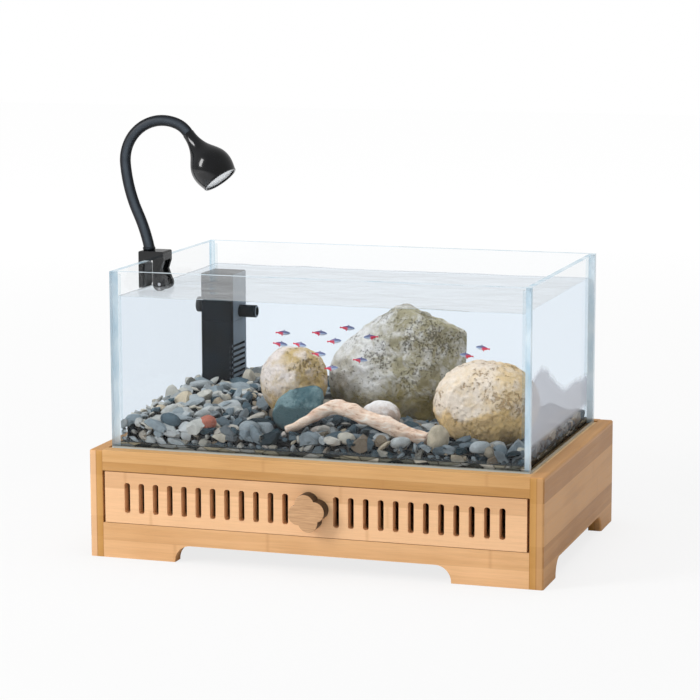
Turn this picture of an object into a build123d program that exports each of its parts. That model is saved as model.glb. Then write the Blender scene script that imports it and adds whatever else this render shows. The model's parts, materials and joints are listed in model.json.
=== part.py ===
from build123d import *
from math import cos, pi, radians, sin
import os

# A nano aquarium: a glass tank with gravel, stones, an internal filter and a clip lamp, on a bamboo base
# with a slotted drawer. +Z is up, the drawer's front faces -Y and +X is right. The origin lies on the floor
# under the middle of the whole object, lamp and knob included.

os.makedirs("parts", exist_ok=True)

# Tank
tank_width = 400.0
tank_depth = 263.0
tank_height = 167.0
glass = 6.0
bead_leg = 3.0
bead_below_rim = 3.0

# Base boards
board = 13.0
back_board_thickness = 9.0
base_height = 101.5
deck_recess = 1.5
deck_thickness = 9.0
tank_gap_side = 4.0
tank_gap_front = 1.5
top_rail_height = 19.5
bottom_rail_height = 33.0
foot_front = 84.5
foot_side = 49.0
arch_rise = 16.0
arch_corner = 15.0
board_edge_round = 2.0
rail_edge_round = 0.8

# Joinery inside the base
dowel_diameter = 5.0
dowel_length = 20.0
dowel_clearance = 0.05
cleat_width = 10.0
cleat_height = 8.0
runner_width = 12.0
runner_height = 9.0
screw_diameter = 3.0
screw_head_diameter = 6.0
screw_head_height = 2.0
screw_length = 16.0
screw_end_margin = 30.0

# Drawer
drawer_gap_side = 2.3
drawer_gap_height = 0.5
drawer_stop_gap = 0.3
drawer_front_thickness = 10.0
drawer_wall = 8.0
drawer_wall_height = 38.0
drawer_rear_space = 14.0
drawer_floor_thickness = 4.0
drawer_floor_lift = 4.0
groove_depth = 4.0
groove_clearance = 0.15
stop_width = 24.0
slot_width = 5.6
slot_height = 28.5
slot_corner = 2.3
slot_pitch = 14.1
slot_first = 24.3
slots_per_side = 12
knob_thickness = 13.0
knob_lobes = 4
knob_lobe_radius = 9.5
knob_lobe_reach = 8.0
knob_turn = 12.0
knob_edge_round = 0.8
knob_screw_diameter = 4.0
knob_screw_head = 8.0
knob_screw_head_height = 2.6
knob_screw_bite = 9.0

# Gravel bed, heights above the bottom pane from left to right at the front, the middle and the back
bed_gap = 0.4
bed_front = [19.0, 15.0, 12.5, 11.0, 9.0]
bed_middle = [27.0, 23.0, 16.0, 12.0, 7.0]
bed_back = [30.0, 28.0, 18.0, 9.0, 3.5]

# Filter, placed from the tank's left back corner
filter_width = 34.5
filter_depth = 39.0
filter_height = 134.5
filter_from_left_pane = 6.0
filter_from_back_pane = 18.0
filter_corner = 2.5
filter_head_height = 47.5
sheath_wall = 1.8
sheath_floor = 2.0
spigot_depth = 5.0
filter_running_gap = 0.3
intake_slot_height = 2.5
intake_pitch = 5.5
intake_slots = 11
intake_front_reach = 4.0
intake_edge_margin = 6.0
intake_post = 1.4
chamber_radius = 9.5
chamber_height = 17.0
magnet_radius = 5.6
magnet_length = 18.0
magnet_clearance = 0.6
well_depth = 21.0
vane_reach = 8.6
vane_height = 8.0
vane_thickness = 1.2
vane_count = 6
shaft_radius = 1.0
shaft_clearance = 0.08
cover_thickness = 2.0
inlet_radius = 2.2
coil_size = (28.0, 8.0, 24.0)
coil_play = 0.2
coil_wall = 1.6
coil_lift = 1.5
coil_round = 1.5
shaft_seat_play = 0.02
shaft_seat_depth = 2.0
shaft_seat_gap = 0.2
rotor_hub_radius = 2.6
rotor_lift = 1.0
vane_tip_gap = 0.6
head_edge_round = 1.0
nozzle_radius = 6.2
nozzle_bore = 4.4
nozzle_reach = 18.0
nozzle_spigot = 4.0
nozzle_height = 13.5
nozzle_spigot_wall = 0.8
nozzle_edge_round = 1.2
cup_radius = 7.6
cup_neck = 2.6
cup_stem = 3.0
cup_places = (8.5, 31.0)
cup_height = 15.0
cup_lip = 1.0
cup_rim_step = 1.2
cup_seat_play = 0.1

# Clip lamp, on the left pane
lamp_from_front = 95.5
clip_width = 22.0
clip_cap_height = 8.5
clip_outer_reach = 6.0
clip_inner_reach = 19.5
clip_drop = 26.5
clip_plate = 4.4
clip_gap = 0.3
clip_edge_round = 1.6
pad_thickness = 1.2
pad_margin = 1.0
pad_start = 6.0
pad_end = 16.0
outer_pad_round = 2.0
inner_pad_round = 1.5
cheek_thickness = 4.0
cheek_pad_gap = 1.2
cheek_root = 1.0
cheek_shoulder_reach = 1.8
cheek_shoulder_height = 13.5
cheek_toe_height = 7.0
pivot_from_glass = 15.0
pivot_below_rim = 22.5
pivot_boss_radius = 6.6
pin_radius = 1.5
pin_play = 0.1
jaw_barrel_radius = 4.6
jaw_play = 0.4
jaw_height = 17.0
jaw_lip = 6.0
jaw_shoulder_height = 12.0
jaw_shoulder_inset = 0.5
jaw_heel_reach = 3.0
jaw_heel_height = 5.0
barrel_web_height = 6.0
barrel_web_drop = 1.0
barrel_toe_drop = 3.0
spring_wall = 1.2
neck_radius = 5.2
neck_flange_step = 0.8
neck_bore_play = 0.1
neck_socket_offset = 0.7
neck_heading = 102.5
neck_lower_bend = (12.2, 33.6)
neck_middle_bend = (-20.0, 49.0)
neck_top_bend = (-117.3, 79.7)
neck_end_bend = (-29.5, 12.3)
ball_gap = 0.3
neck_spigot_radius = 3.8
neck_spigot_depth = 6.0
neck_flange_height = 3.0
head_heading = -51.5
head_forward = 5.0
shade_outline = [
    (6.1, 9.0), (7.6, 15.0), (10.0, 20.5), (14.2, 27.0),
    (18.6, 35.0), (19.9, 43.5), (19.0, 50.0), (17.6, 54.8),
]
shade_start = 2.0
shade_neck_wall = 0.4
shade_wall = 1.5
shade_cavity_start = 25.0
shade_cavity_radius = 8.0
lamp_wire_bore = 1.8
light_post_radius = 6.0
bezel_height = 1.8
bezel_width = 2.0
lens_thickness = 1.6
led_board_thickness = 1.6
led_size = 5.0
led_board_depth = 12.0
seat_gap = 0.15

# How far a cut reaches past the face that it opens
cut_through = 1.0

# Sizes that follow from the ones above
base_width = tank_width + 2 * (tank_gap_side + board)
base_depth = board + tank_gap_front + tank_depth + tank_gap_front + back_board_thickness
deck_top = base_height - deck_recess
deck_bottom = deck_top - deck_thickness
tank_floor = deck_top + glass
rim = deck_top + tank_height
opening_half = base_width / 2 - board


def add_bends(start, heading, steps):
    """Draws tangent arcs one after another and returns the end point and heading, in the route's plane."""
    x, z = start
    for turn, length in steps:
        radius = length / abs(radians(turn))
        JernArc((x, z), (cos(radians(heading)), sin(radians(heading))), radius, turn)
        side = radius if turn > 0 else -radius
        x += side * (sin(radians(heading + turn)) - sin(radians(heading)))
        z -= side * (cos(radians(heading + turn)) - cos(radians(heading)))
        heading += turn
    return (x, z), heading


with BuildLine() as neck_route:
    add_bends((0, 0), neck_heading, [neck_lower_bend, neck_middle_bend, neck_top_bend, neck_end_bend])
neck_bow = -neck_route.line.bounding_box().min.X

# The base's middle, right of and behind the origin by half of what the neck and the knob stand out
neck_overhang = tank_width / 2 - neck_socket_offset + neck_bow + neck_radius - base_width / 2
x_mid = neck_overhang / 2
y_front = knob_thickness / 2 - base_depth / 2
y_back = y_front + base_depth
y_mid = (y_front + y_back) / 2
x_left = x_mid - base_width / 2
x_right = x_mid + base_width / 2
x_inner_left = x_mid - opening_half
x_inner_right = x_mid + opening_half
y_inner_back = y_back - back_board_thickness
tank_left = x_mid - tank_width / 2
tank_right = x_mid + tank_width / 2
tank_front = y_front + board + tank_gap_front
tank_back = tank_front + tank_depth
water_left = tank_left + glass
water_right = tank_right - glass
water_front = tank_front + glass
water_back = tank_back - glass


def block(low, high, mode=Mode.ADD):
    """A box between two corners, added to the part being built."""
    with Locations(low):
        Box(
            high[0] - low[0], high[1] - low[1], high[2] - low[2],
            align=(Align.MIN, Align.MIN, Align.MIN), mode=mode,
        )


def rod_x(centre, radius, length, mode=Mode.ADD):
    """A round bar along X, centred on a point."""
    with Locations(Location(centre, (0, 90, 0))):
        Cylinder(radius, length, mode=mode)


def rod_y(centre, radius, length, mode=Mode.ADD):
    """A round bar along Y, centred on a point."""
    with Locations(Location(centre, (90, 0, 0))):
        Cylinder(radius, length, mode=mode)


def rod_z(base, radius, length, mode=Mode.ADD):
    """A round bar along Z, standing on a point."""
    with Locations(base):
        Cylinder(radius, length, align=(Align.CENTER, Align.CENTER, Align.MIN), mode=mode)


def arched_outline(length, height, foot):
    """A board's outline with feet at both ends and a round-cornered arch between them."""
    Rectangle(length, height, align=(Align.CENTER, Align.MIN))
    RectangleRounded(length - 2 * foot, 2 * arch_rise, arch_corner, mode=Mode.SUBTRACT)


# Corner joints: each dowel's place along Y and Z, repeated at both ends of the rails and the back board
dowel_places = [
    (y_front + board / 2, base_height - top_rail_height / 2),
    (y_front + board / 2, (arch_rise + bottom_rail_height) / 2),
    (y_back - back_board_thickness / 2, (arch_rise + bottom_rail_height) / 2),
    (y_back - back_board_thickness / 2, base_height - top_rail_height / 2),
]


def dowel_holes():
    """Blind holes for the dowels at both sides of the base."""
    for y, z in dowel_places:
        for x in (x_inner_left, x_inner_right):
            rod_x((x, y, z), dowel_diameter / 2 + dowel_clearance, dowel_length + cut_through, Mode.SUBTRACT)


# Rails that carry the deck and the drawer, and the screws that hold them to the side boards
cleat_top = deck_bottom
cleat_bottom = cleat_top - cleat_height
runner_top = bottom_rail_height
runner_bottom = runner_top - runner_height
rail_front = y_front + board
rail_back = y_inner_back
screw_rows = (cleat_bottom + cleat_height / 2, runner_bottom + runner_height / 2)
screw_stations = (rail_front + screw_end_margin, rail_back - screw_end_margin)


def runner_screw_bars(width, extra, head_extra, mode):
    """Screws along X through a rail of this width into the side boards, heads flush with the rail."""
    for z, rail in zip(screw_rows, (cleat_width, runner_width)):
        if width is not None and rail != width:
            continue
        for y in screw_stations:
            for side, wall in ((1, x_inner_left), (-1, x_inner_right)):
                face = wall + side * rail
                centre = face - side * screw_length / 2
                rod_x((centre, y, z), screw_diameter / 2 + extra, screw_length + 2 * extra, mode)
                head = face - side * screw_head_height / 2
                rod_x((head, y, z), screw_head_diameter / 2 + head_extra, screw_head_height, mode)


# Side boards
with BuildPart() as left_side_board:
    with BuildSketch(Plane.YZ.offset(x_left)) as left_outline:
        with Locations((y_mid, 0)):
            arched_outline(base_depth, base_height, foot_side)
    extrude(amount=board)
    fillet(left_side_board.edges().filter_by(Axis.Z).group_by(Axis.X)[0], board_edge_round)
    fillet(left_side_board.edges().group_by(Axis.Z)[-1].group_by(Axis.X)[0], board_edge_round)
    dowel_holes()
    runner_screw_bars(None, dowel_clearance, dowel_clearance, Mode.SUBTRACT)
left_side_board.part.label = "left_side_board"
export_step(left_side_board.part, "parts/left_side_board.step")

with BuildPart() as right_side_board:
    with BuildSketch(Plane.YZ.offset(x_inner_right)) as right_outline:
        with Locations((y_mid, 0)):
            arched_outline(base_depth, base_height, foot_side)
    extrude(amount=board)
    fillet(right_side_board.edges().filter_by(Axis.Z).group_by(Axis.X)[-1], board_edge_round)
    fillet(right_side_board.edges().group_by(Axis.Z)[-1].group_by(Axis.X)[-1], board_edge_round)
    dowel_holes()
    runner_screw_bars(None, dowel_clearance, dowel_clearance, Mode.SUBTRACT)
right_side_board.part.label = "right_side_board"
export_step(right_side_board.part, "parts/right_side_board.step")

# Rails across the front, and the back board
with BuildPart() as front_top_rail:
    block((x_inner_left, y_front, base_height - top_rail_height), (x_inner_right, rail_front, base_height))
    fillet(front_top_rail.edges().filter_by(Axis.X).group_by(Axis.Y)[0], rail_edge_round)
    dowel_holes()
front_top_rail.part.label = "front_top_rail"
export_step(front_top_rail.part, "parts/front_top_rail.step")

with BuildPart() as front_bottom_rail:
    with BuildSketch(Plane.XZ.offset(-rail_front)) as rail_outline:
        with Locations((x_mid, 0)):
            arched_outline(2 * opening_half, bottom_rail_height, foot_front - board)
    extrude(amount=board)
    dowel_holes()
front_bottom_rail.part.label = "front_bottom_rail"
export_step(front_bottom_rail.part, "parts/front_bottom_rail.step")

with BuildPart() as back_board:
    with BuildSketch(Plane.XZ.offset(-y_back)) as back_outline:
        with Locations((x_mid, 0)):
            arched_outline(2 * opening_half, base_height, foot_front - board)
    extrude(amount=back_board_thickness)
    dowel_holes()
back_board.part.label = "back_board"
export_step(back_board.part, "parts/back_board.step")

with BuildPart() as deck_panel:
    block((x_inner_left, rail_front, deck_bottom), (x_inner_right, rail_back, deck_top))
deck_panel.part.label = "deck_panel"
export_step(deck_panel.part, "parts/deck_panel.step")

# Cleats under the deck, which also keep the drawer from tipping, and the runners that carry the drawer
for side, wall in (("left", x_inner_left), ("right", x_inner_right)):
    inward = 1 if side == "left" else -1
    with BuildPart() as cleat:
        ends = sorted((wall, wall + inward * cleat_width))
        block((ends[0], rail_front, cleat_bottom), (ends[1], rail_back, cleat_top))
        runner_screw_bars(cleat_width, dowel_clearance, dowel_clearance, Mode.SUBTRACT)
    cleat.part.label = f"{side}_deck_cleat"
    export_step(cleat.part, f"parts/{side}_deck_cleat.step")
    with BuildPart() as runner:
        ends = sorted((wall, wall + inward * runner_width))
        block((ends[0], rail_front, runner_bottom), (ends[1], rail_back, runner_top))
        runner_screw_bars(runner_width, dowel_clearance, dowel_clearance, Mode.SUBTRACT)
    runner.part.label = f"{side}_drawer_runner"
    export_step(runner.part, f"parts/{side}_drawer_runner.step")

with BuildPart() as dowels:
    for y, z in dowel_places:
        for x in (x_inner_left, x_inner_right):
            rod_x((x, y, z), dowel_diameter / 2, dowel_length)
dowels.part.label = "corner_dowels"
export_step(dowels.part, "parts/corner_dowels.step")

with BuildPart() as rail_screws:
    runner_screw_bars(None, 0, 0, Mode.ADD)
rail_screws.part.label = "rail_screws"
export_step(rail_screws.part, "parts/rail_screws.step")

# Drawer
drawer_left = x_inner_left + drawer_gap_side
drawer_right = x_inner_right - drawer_gap_side
drawer_bottom_edge = bottom_rail_height + drawer_gap_height
drawer_top_edge = base_height - top_rail_height - drawer_gap_height
drawer_front_back = y_front + drawer_front_thickness
drawer_back = y_inner_back - drawer_rear_space
drawer_mid_height = (drawer_bottom_edge + drawer_top_edge) / 2
drawer_wall_top = drawer_bottom_edge + drawer_wall_height
floor_bottom = drawer_bottom_edge + drawer_floor_lift
floor_top = floor_bottom + drawer_floor_thickness
floor_reach = groove_depth - groove_clearance


def floor_groove():
    """The groove that holds the drawer's floor, cut around its inside."""
    block(
        (drawer_left + drawer_wall - groove_depth, drawer_front_back - groove_depth,
         floor_bottom - groove_clearance),
        (drawer_right - drawer_wall + groove_depth, drawer_back - drawer_wall + groove_depth,
         floor_top + groove_clearance),
        Mode.SUBTRACT,
    )


with BuildPart() as drawer_front:
    with BuildSketch(Plane.XZ.offset(-drawer_front_back)) as front_outline:
        with Locations((x_mid, drawer_mid_height)):
            Rectangle(drawer_right - drawer_left, drawer_top_edge - drawer_bottom_edge)
        slot_places = [
            (x_mid + side * (slot_first + i * slot_pitch), drawer_mid_height)
            for side in (-1, 1)
            for i in range(slots_per_side)
        ]
        with Locations(*slot_places):
            RectangleRounded(slot_width, slot_height, slot_corner, mode=Mode.SUBTRACT)
    extrude(amount=drawer_front_thickness)
    floor_groove()
    rod_y(
        (x_mid, y_front + drawer_front_thickness / 2, drawer_mid_height),
        knob_screw_diameter / 2 + dowel_clearance, 2 * drawer_front_thickness, Mode.SUBTRACT,
    )
drawer_front.part.label = "drawer_front"
export_step(drawer_front.part, "parts/drawer_front.step")

for side, outer in (("left", drawer_left), ("right", drawer_right)):
    inward = 1 if side == "left" else -1
    with BuildPart() as drawer_side:
        ends = sorted((outer, outer + inward * drawer_wall))
        block((ends[0], drawer_front_back, drawer_bottom_edge), (ends[1], drawer_back, drawer_wall_top))
        floor_groove()
    drawer_side.part.label = f"drawer_{side}_side"
    export_step(drawer_side.part, f"parts/drawer_{side}_side.step")

with BuildPart() as drawer_back_wall:
    block(
        (drawer_left + drawer_wall, drawer_back - drawer_wall, drawer_bottom_edge),
        (drawer_right - drawer_wall, drawer_back, drawer_wall_top),
    )
    floor_groove()
drawer_back_wall.part.label = "drawer_back"
export_step(drawer_back_wall.part, "parts/drawer_back.step")

with BuildPart() as drawer_floor:
    block(
        (drawer_left + drawer_wall - floor_reach, drawer_front_back - floor_reach, floor_bottom),
        (drawer_right - drawer_wall + floor_reach, drawer_back - drawer_wall + floor_reach, floor_top),
    )
drawer_floor.part.label = "drawer_floor"
export_step(drawer_floor.part, "parts/drawer_floor.step")

# Blocks behind the drawer that stop its front flush with the rails
with BuildPart() as drawer_stops:
    for x in (x_inner_left + runner_width, x_inner_right - runner_width - stop_width):
        block(
            (x, drawer_back + drawer_stop_gap, runner_bottom),
            (x + stop_width, y_inner_back, drawer_wall_top),
        )
drawer_stops.part.label = "drawer_stops"
export_step(drawer_stops.part, "parts/drawer_stops.step")

with BuildPart() as drawer_knob:
    with BuildSketch(Plane.XZ.offset(-y_front)) as knob_outline:
        with Locations((x_mid, drawer_mid_height)):
            with PolarLocations(knob_lobe_reach, knob_lobes, start_angle=knob_turn):
                Circle(knob_lobe_radius)
    extrude(amount=knob_thickness)
    fillet(drawer_knob.edges().group_by(Axis.Y)[0], knob_edge_round)
    rod_y(
        (x_mid, y_front, drawer_mid_height),
        knob_screw_diameter / 2 + dowel_clearance, 2 * knob_screw_bite + cut_through, Mode.SUBTRACT,
    )
drawer_knob.part.label = "drawer_knob"
export_step(drawer_knob.part, "parts/drawer_knob.step")

with BuildPart() as knob_screw:
    screw_span = drawer_front_thickness + knob_screw_bite
    rod_y(
        (x_mid, drawer_front_back - screw_span / 2, drawer_mid_height),
        knob_screw_diameter / 2, screw_span,
    )
    rod_y(
        (x_mid, drawer_front_back + knob_screw_head_height / 2, drawer_mid_height),
        knob_screw_head / 2, knob_screw_head_height,
    )
    fillet(knob_screw.edges().group_by(Axis.Y)[-1], knob_screw_head_height / 3)
knob_screw.part.label = "knob_screw"
export_step(knob_screw.part, "parts/knob_screw.step")

# Tank: front and back panes over the full width, side panes and the bottom pane between them
panes = {
    "tank_front_pane": ((tank_left, tank_front, deck_top), (tank_right, water_front, rim)),
    "tank_back_pane": ((tank_left, water_back, deck_top), (tank_right, tank_back, rim)),
    "tank_left_pane": ((tank_left, water_front, deck_top), (water_left, water_back, rim)),
    "tank_right_pane": ((water_right, water_front, deck_top), (tank_right, water_back, rim)),
    "tank_bottom_pane": ((water_left, water_front, deck_top), (water_right, water_back, tank_floor)),
}
for pane_name, (low, high) in panes.items():
    with BuildPart() as pane:
        block(low, high)
    pane.part.label = pane_name
    export_step(pane.part, f"parts/{pane_name}.step")

# Silicone: one bead around the bottom and one up each inner corner
with BuildPart() as silicone_seams:
    block((water_left, water_front, tank_floor), (water_right, water_back, tank_floor + bead_leg))
    block(
        (water_left + bead_leg, water_front + bead_leg, tank_floor),
        (water_right - bead_leg, water_back - bead_leg, tank_floor + bead_leg),
        Mode.SUBTRACT,
    )
    for x in (water_left, water_right - bead_leg):
        for y in (water_front, water_back - bead_leg):
            with BuildSketch(Plane.XY.offset(tank_floor)):
                left, front = x == water_left, y == water_front
                corner = (x if left else x + bead_leg, y if front else y + bead_leg)
                along_x = (x + bead_leg if left else x, corner[1])
                along_y = (corner[0], y + bead_leg if front else y)
                with BuildLine():
                    Polyline(corner, along_x, along_y, corner)
                make_face()
            extrude(amount=tank_height - glass - bead_below_rim)
silicone_seams.part.label = "silicone_seams"
export_step(silicone_seams.part, "parts/silicone_seams.step")


def uneven_round(low_x, high_x, low_y, high_y, phase, wobble):
    """Points of a closed, slightly uneven curve that fills a rectangle."""
    steps = 12
    middle_x, half_x = (low_x + high_x) / 2, (high_x - low_x) / 2
    middle_y, half_y = (low_y + high_y) / 2, (high_y - low_y) / 2
    points = []
    for i in range(steps):
        angle = 2 * pi * i / steps
        reach = 1 - wobble + wobble * sin(3 * angle + phase) * cos(2 * angle - phase)
        points.append((middle_x + half_x * reach * cos(angle), middle_y + half_y * reach * sin(angle)))
    return points


def stone(rows, phase, wobble, base):
    """A stone lofted through rows of height and reach along X and Y above a base plane."""
    with BuildPart() as body:
        for height, low_x, high_x, low_y, high_y in rows:
            with BuildSketch(base.offset(height)):
                with BuildLine():
                    Spline(*uneven_round(low_x, high_x, low_y, high_y, phase, wobble), periodic=True)
                make_face()
        loft()
    return body


# Stones: rows of height above the bottom pane and reach along X and Y, measured from the tank's middle
# along X and from the front pane's outer face along Y. The right boulder lies close to the right pane, so
# its rows are measured along X from that pane's inner face.
centre_rock_rows = [
    (0.0, -38, 91, 128, 214),
    (29.0, -46, 94, 123, 219),
    (58.0, -44, 94, 127, 217),
    (83.0, -24, 93, 135, 211),
    (101.0, 2, 89, 143, 203),
    (114.0, 22, 74, 153, 191),
]
right_boulder_rows = [
    (4.0, -82, -27, 58, 104),
    (15.0, -97, -14, 49, 113),
    (36.0, -106, -4, 43, 119),
    (54.0, -103, -4, 44, 118),
    (69.0, -91, -14, 52, 110),
    (79.5, -70, -37, 66, 96),
]
left_boulder_rows = [
    (16.0, -76, -42, 92, 122),
    (27.0, -86, -32, 84, 131),
    (43.0, -92, -25, 79, 136),
    (59.0, -90, -25, 80, 135),
    (72.0, -82, -31, 86, 129),
    (81.0, -66, -44, 99, 115),
]
white_stone_rows = [
    (13.0, 34, 53, 66, 82),
    (18.0, 27, 59, 62, 86),
    (26.0, 24, 61, 61, 87),
    (34.0, 29, 57, 64, 84),
    (38.5, 38, 49, 70, 78),
]

bed_plane = Plane(origin=(x_mid, tank_front, tank_floor))
centre_rock = stone(centre_rock_rows, 0.7, 0.05, bed_plane)
centre_rock.part.label = "centre_rock"
export_step(centre_rock.part, "parts/centre_rock.step")

boulder_plane = Plane(origin=(water_right, tank_front, tank_floor))
right_boulder = stone(right_boulder_rows, 2.1, 0.03, boulder_plane)
right_boulder.part.label = "right_boulder"
export_step(right_boulder.part, "parts/right_boulder.step")

left_boulder = stone(left_boulder_rows, 4.0, 0.03, bed_plane)
left_boulder.part.label = "left_boulder"
export_step(left_boulder.part, "parts/left_boulder.step")

white_stone = stone(white_stone_rows, 1.3, 0.04, bed_plane)
white_stone.part.label = "white_stone"
export_step(white_stone.part, "parts/white_stone.step")

# A flat slate that leans back against the left boulder
slate_centre = (-39.0, 59.0, 29.0)
slate_half_width = 25.0
slate_half_height = 20.0
slate_half_thickness = 5.0
slate_plane = Plane(
    origin=(x_mid + slate_centre[0], tank_front + slate_centre[1], tank_floor + slate_centre[2]),
    x_dir=(0.9, 0.12, 0.42),
    z_dir=(-0.12, -0.8, 0.5),
)
slate_rows = [
    (-slate_half_thickness, 0.72),
    (-slate_half_thickness / 2, 0.96),
    (slate_half_thickness / 2, 1.0),
    (slate_half_thickness, 0.8),
]
slate_sections = [
    (h, -slate_half_width * k, slate_half_width * k, -slate_half_height * k, slate_half_height * k)
    for h, k in slate_rows
]
leaning_slate = stone(slate_sections, 0.4, 0.06, slate_plane)
leaning_slate.part.label = "leaning_slate"
export_step(leaning_slate.part, "parts/leaning_slate.step")

# Driftwood: stations of the branch from the tank's middle and front, above the bottom pane, with its radius
branch_stations = [
    ((-40, 29, 15), 4.2),
    ((-16, 39, 27), 5.2),
    ((5, 47, 36), 5.6),
    ((30, 44, 32), 5.0),
    ((62, 38, 22), 4.4),
    ((96, 34, 13), 3.0),
]
branch_points = [
    Vector(x_mid + place[0], tank_front + place[1], tank_floor + place[2]) for place, _ in branch_stations
]
with BuildPart() as driftwood_branch:
    for i, (place, radius) in enumerate(branch_stations):
        before = branch_points[max(i - 1, 0)]
        after = branch_points[min(i + 1, len(branch_points) - 1)]
        station = Plane(origin=branch_points[i], x_dir=(0, -1, 0), z_dir=(after - before))
        with BuildSketch(station):
            Circle(radius)
    loft()
driftwood_branch.part.label = "driftwood_branch"
export_step(driftwood_branch.part, "parts/driftwood_branch.step")

# Single pebbles that stand out along the front: place, half sizes and turn
pebble_rows = [
    ((111, 17, 18), (9.5, 6.5, 14.0), (0, 8, 20)),
    ((-9, 16, 13), (7.0, 5.5, 5.5), (0, 10, 30)),
    ((76, 16, 13), (10.0, 6.0, 5.5), (0, -8, 10)),
    ((24, 17, 14), (9.0, 6.5, 5.5), (0, 5, -15)),
    ((-70, 17, 18), (10.0, 7.0, 6.5), (0, 12, 25)),
    ((-112, 18, 20), (9.0, 7.0, 7.0), (0, -15, 0)),
    ((-148, 18, 21), (11.0, 7.0, 6.5), (0, 10, -20)),
    ((150, 17, 13), (10.0, 6.5, 6.0), (0, -6, 15)),
]
with BuildPart() as front_pebbles:
    for place, half, turn in pebble_rows:
        pebble = scale(Sphere(1.0, mode=Mode.PRIVATE), by=half, mode=Mode.PRIVATE)
        spot = Location((x_mid + place[0], tank_front + place[1], tank_floor + place[2]), turn)
        add(pebble.moved(spot))
front_pebbles.part.label = "front_pebbles"
export_step(front_pebbles.part, "parts/front_pebbles.step")

# Filter sheath, place
filter_left = water_left + filter_from_left_pane
filter_right = filter_left + filter_width
filter_back = water_back - filter_from_back_pane
filter_front = filter_back - filter_depth
filter_x = (filter_left + filter_right) / 2
filter_y = (filter_front + filter_back) / 2
filter_bottom = tank_floor + filter_running_gap
filter_top = filter_bottom + filter_height
seam_height = filter_top - filter_head_height

# Gravel bed: three profiles lofted from front to back, with pockets for all that stands in it
bed_sections = [
    (water_front + bed_gap, bed_front),
    ((water_front + water_back) / 2, bed_middle),
    (water_back - bed_gap, bed_back),
]
with BuildPart() as gravel_bed:
    for y, heights in bed_sections:
        bed_left, bed_right = water_left + bed_gap, water_right - bed_gap
        count = len(heights) - 1
        tops = [
            (bed_left + (bed_right - bed_left) * i / count, tank_floor + heights[i])
            for i in range(count + 1)
        ]
        with BuildSketch(Plane.XZ.offset(-y)):
            with BuildLine():
                Polyline((bed_left, tank_floor), *tops, (bed_right, tank_floor), close=True)
            make_face()
    loft(ruled=True)
    for piece in (
        silicone_seams, centre_rock, right_boulder, left_boulder, white_stone, leaning_slate,
        driftwood_branch, front_pebbles,
    ):
        add(piece.part, mode=Mode.SUBTRACT)
    block(
        (filter_left - filter_running_gap, filter_front - filter_running_gap, tank_floor - cut_through),
        (filter_right + filter_running_gap, filter_back + filter_running_gap, rim),
        Mode.SUBTRACT,
    )
gravel_bed.part.label = "gravel_bed"
export_step(gravel_bed.part, "parts/gravel_bed.step")

# Filter sheath: an open box with intake slots round its right front corner
with BuildPart() as filter_sheath:
    sheath_top = seam_height - filter_running_gap
    with BuildSketch(Plane.XY.offset(filter_bottom)):
        with Locations((filter_x, filter_y)):
            RectangleRounded(filter_width, filter_depth, filter_corner)
    extrude(amount=sheath_top - filter_bottom)
    with BuildSketch(Plane.XY.offset(filter_bottom + sheath_floor)):
        with Locations((filter_x, filter_y)):
            RectangleRounded(
                filter_width - 2 * sheath_wall, filter_depth - 2 * sheath_wall,
                filter_corner - sheath_wall / 2,
            )
    extrude(amount=sheath_top - filter_bottom, mode=Mode.SUBTRACT)
    for i in range(intake_slots):
        z = filter_bottom + intake_edge_margin + i * intake_pitch
        block(
            (filter_right - intake_front_reach, filter_front - cut_through, z),
            (filter_right + cut_through, filter_back - intake_edge_margin, z + intake_slot_height),
            Mode.SUBTRACT,
        )
    # A post in the corner carries the bars between the slots
    block(
        (filter_right - intake_front_reach - intake_post, filter_front + sheath_wall / 2, filter_bottom),
        (
            filter_right - sheath_wall, filter_front + sheath_wall + intake_post,
            sheath_top - spigot_depth - filter_running_gap,
        ),
    )
filter_sheath.part.label = "filter_sheath"
export_step(filter_sheath.part, "parts/filter_sheath.step")

with BuildPart() as filter_sponge:
    sponge_margin = sheath_wall + filter_running_gap
    block(
        (filter_left + sponge_margin, filter_front + sponge_margin, filter_bottom + sheath_floor),
        (
            filter_right - sponge_margin - intake_front_reach, filter_back - sponge_margin,
            seam_height - spigot_depth - 2 * filter_running_gap,
        ),
    )
    fillet(filter_sponge.edges().filter_by(Axis.Z), filter_corner)
filter_sponge.part.label = "filter_sponge"
export_step(filter_sponge.part, "parts/filter_sponge.step")

# Filter head: the pump's housing, with an impeller chamber, a well for the magnet and a coil pocket
chamber_bottom = seam_height - spigot_depth + cover_thickness
chamber_top = chamber_bottom + chamber_height
well_top = chamber_top + well_depth
well_radius = magnet_radius + magnet_clearance
nozzle_z = chamber_bottom + nozzle_height - nozzle_spigot / 2
spigot_inset = sheath_wall + filter_running_gap
coil_low = (filter_x - coil_size[0] / 2, filter_y + well_radius + coil_wall, chamber_top + coil_lift)
coil_high = tuple(coil_low[i] + coil_size[i] for i in range(3))
cup_z = seam_height + cup_height

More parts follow.
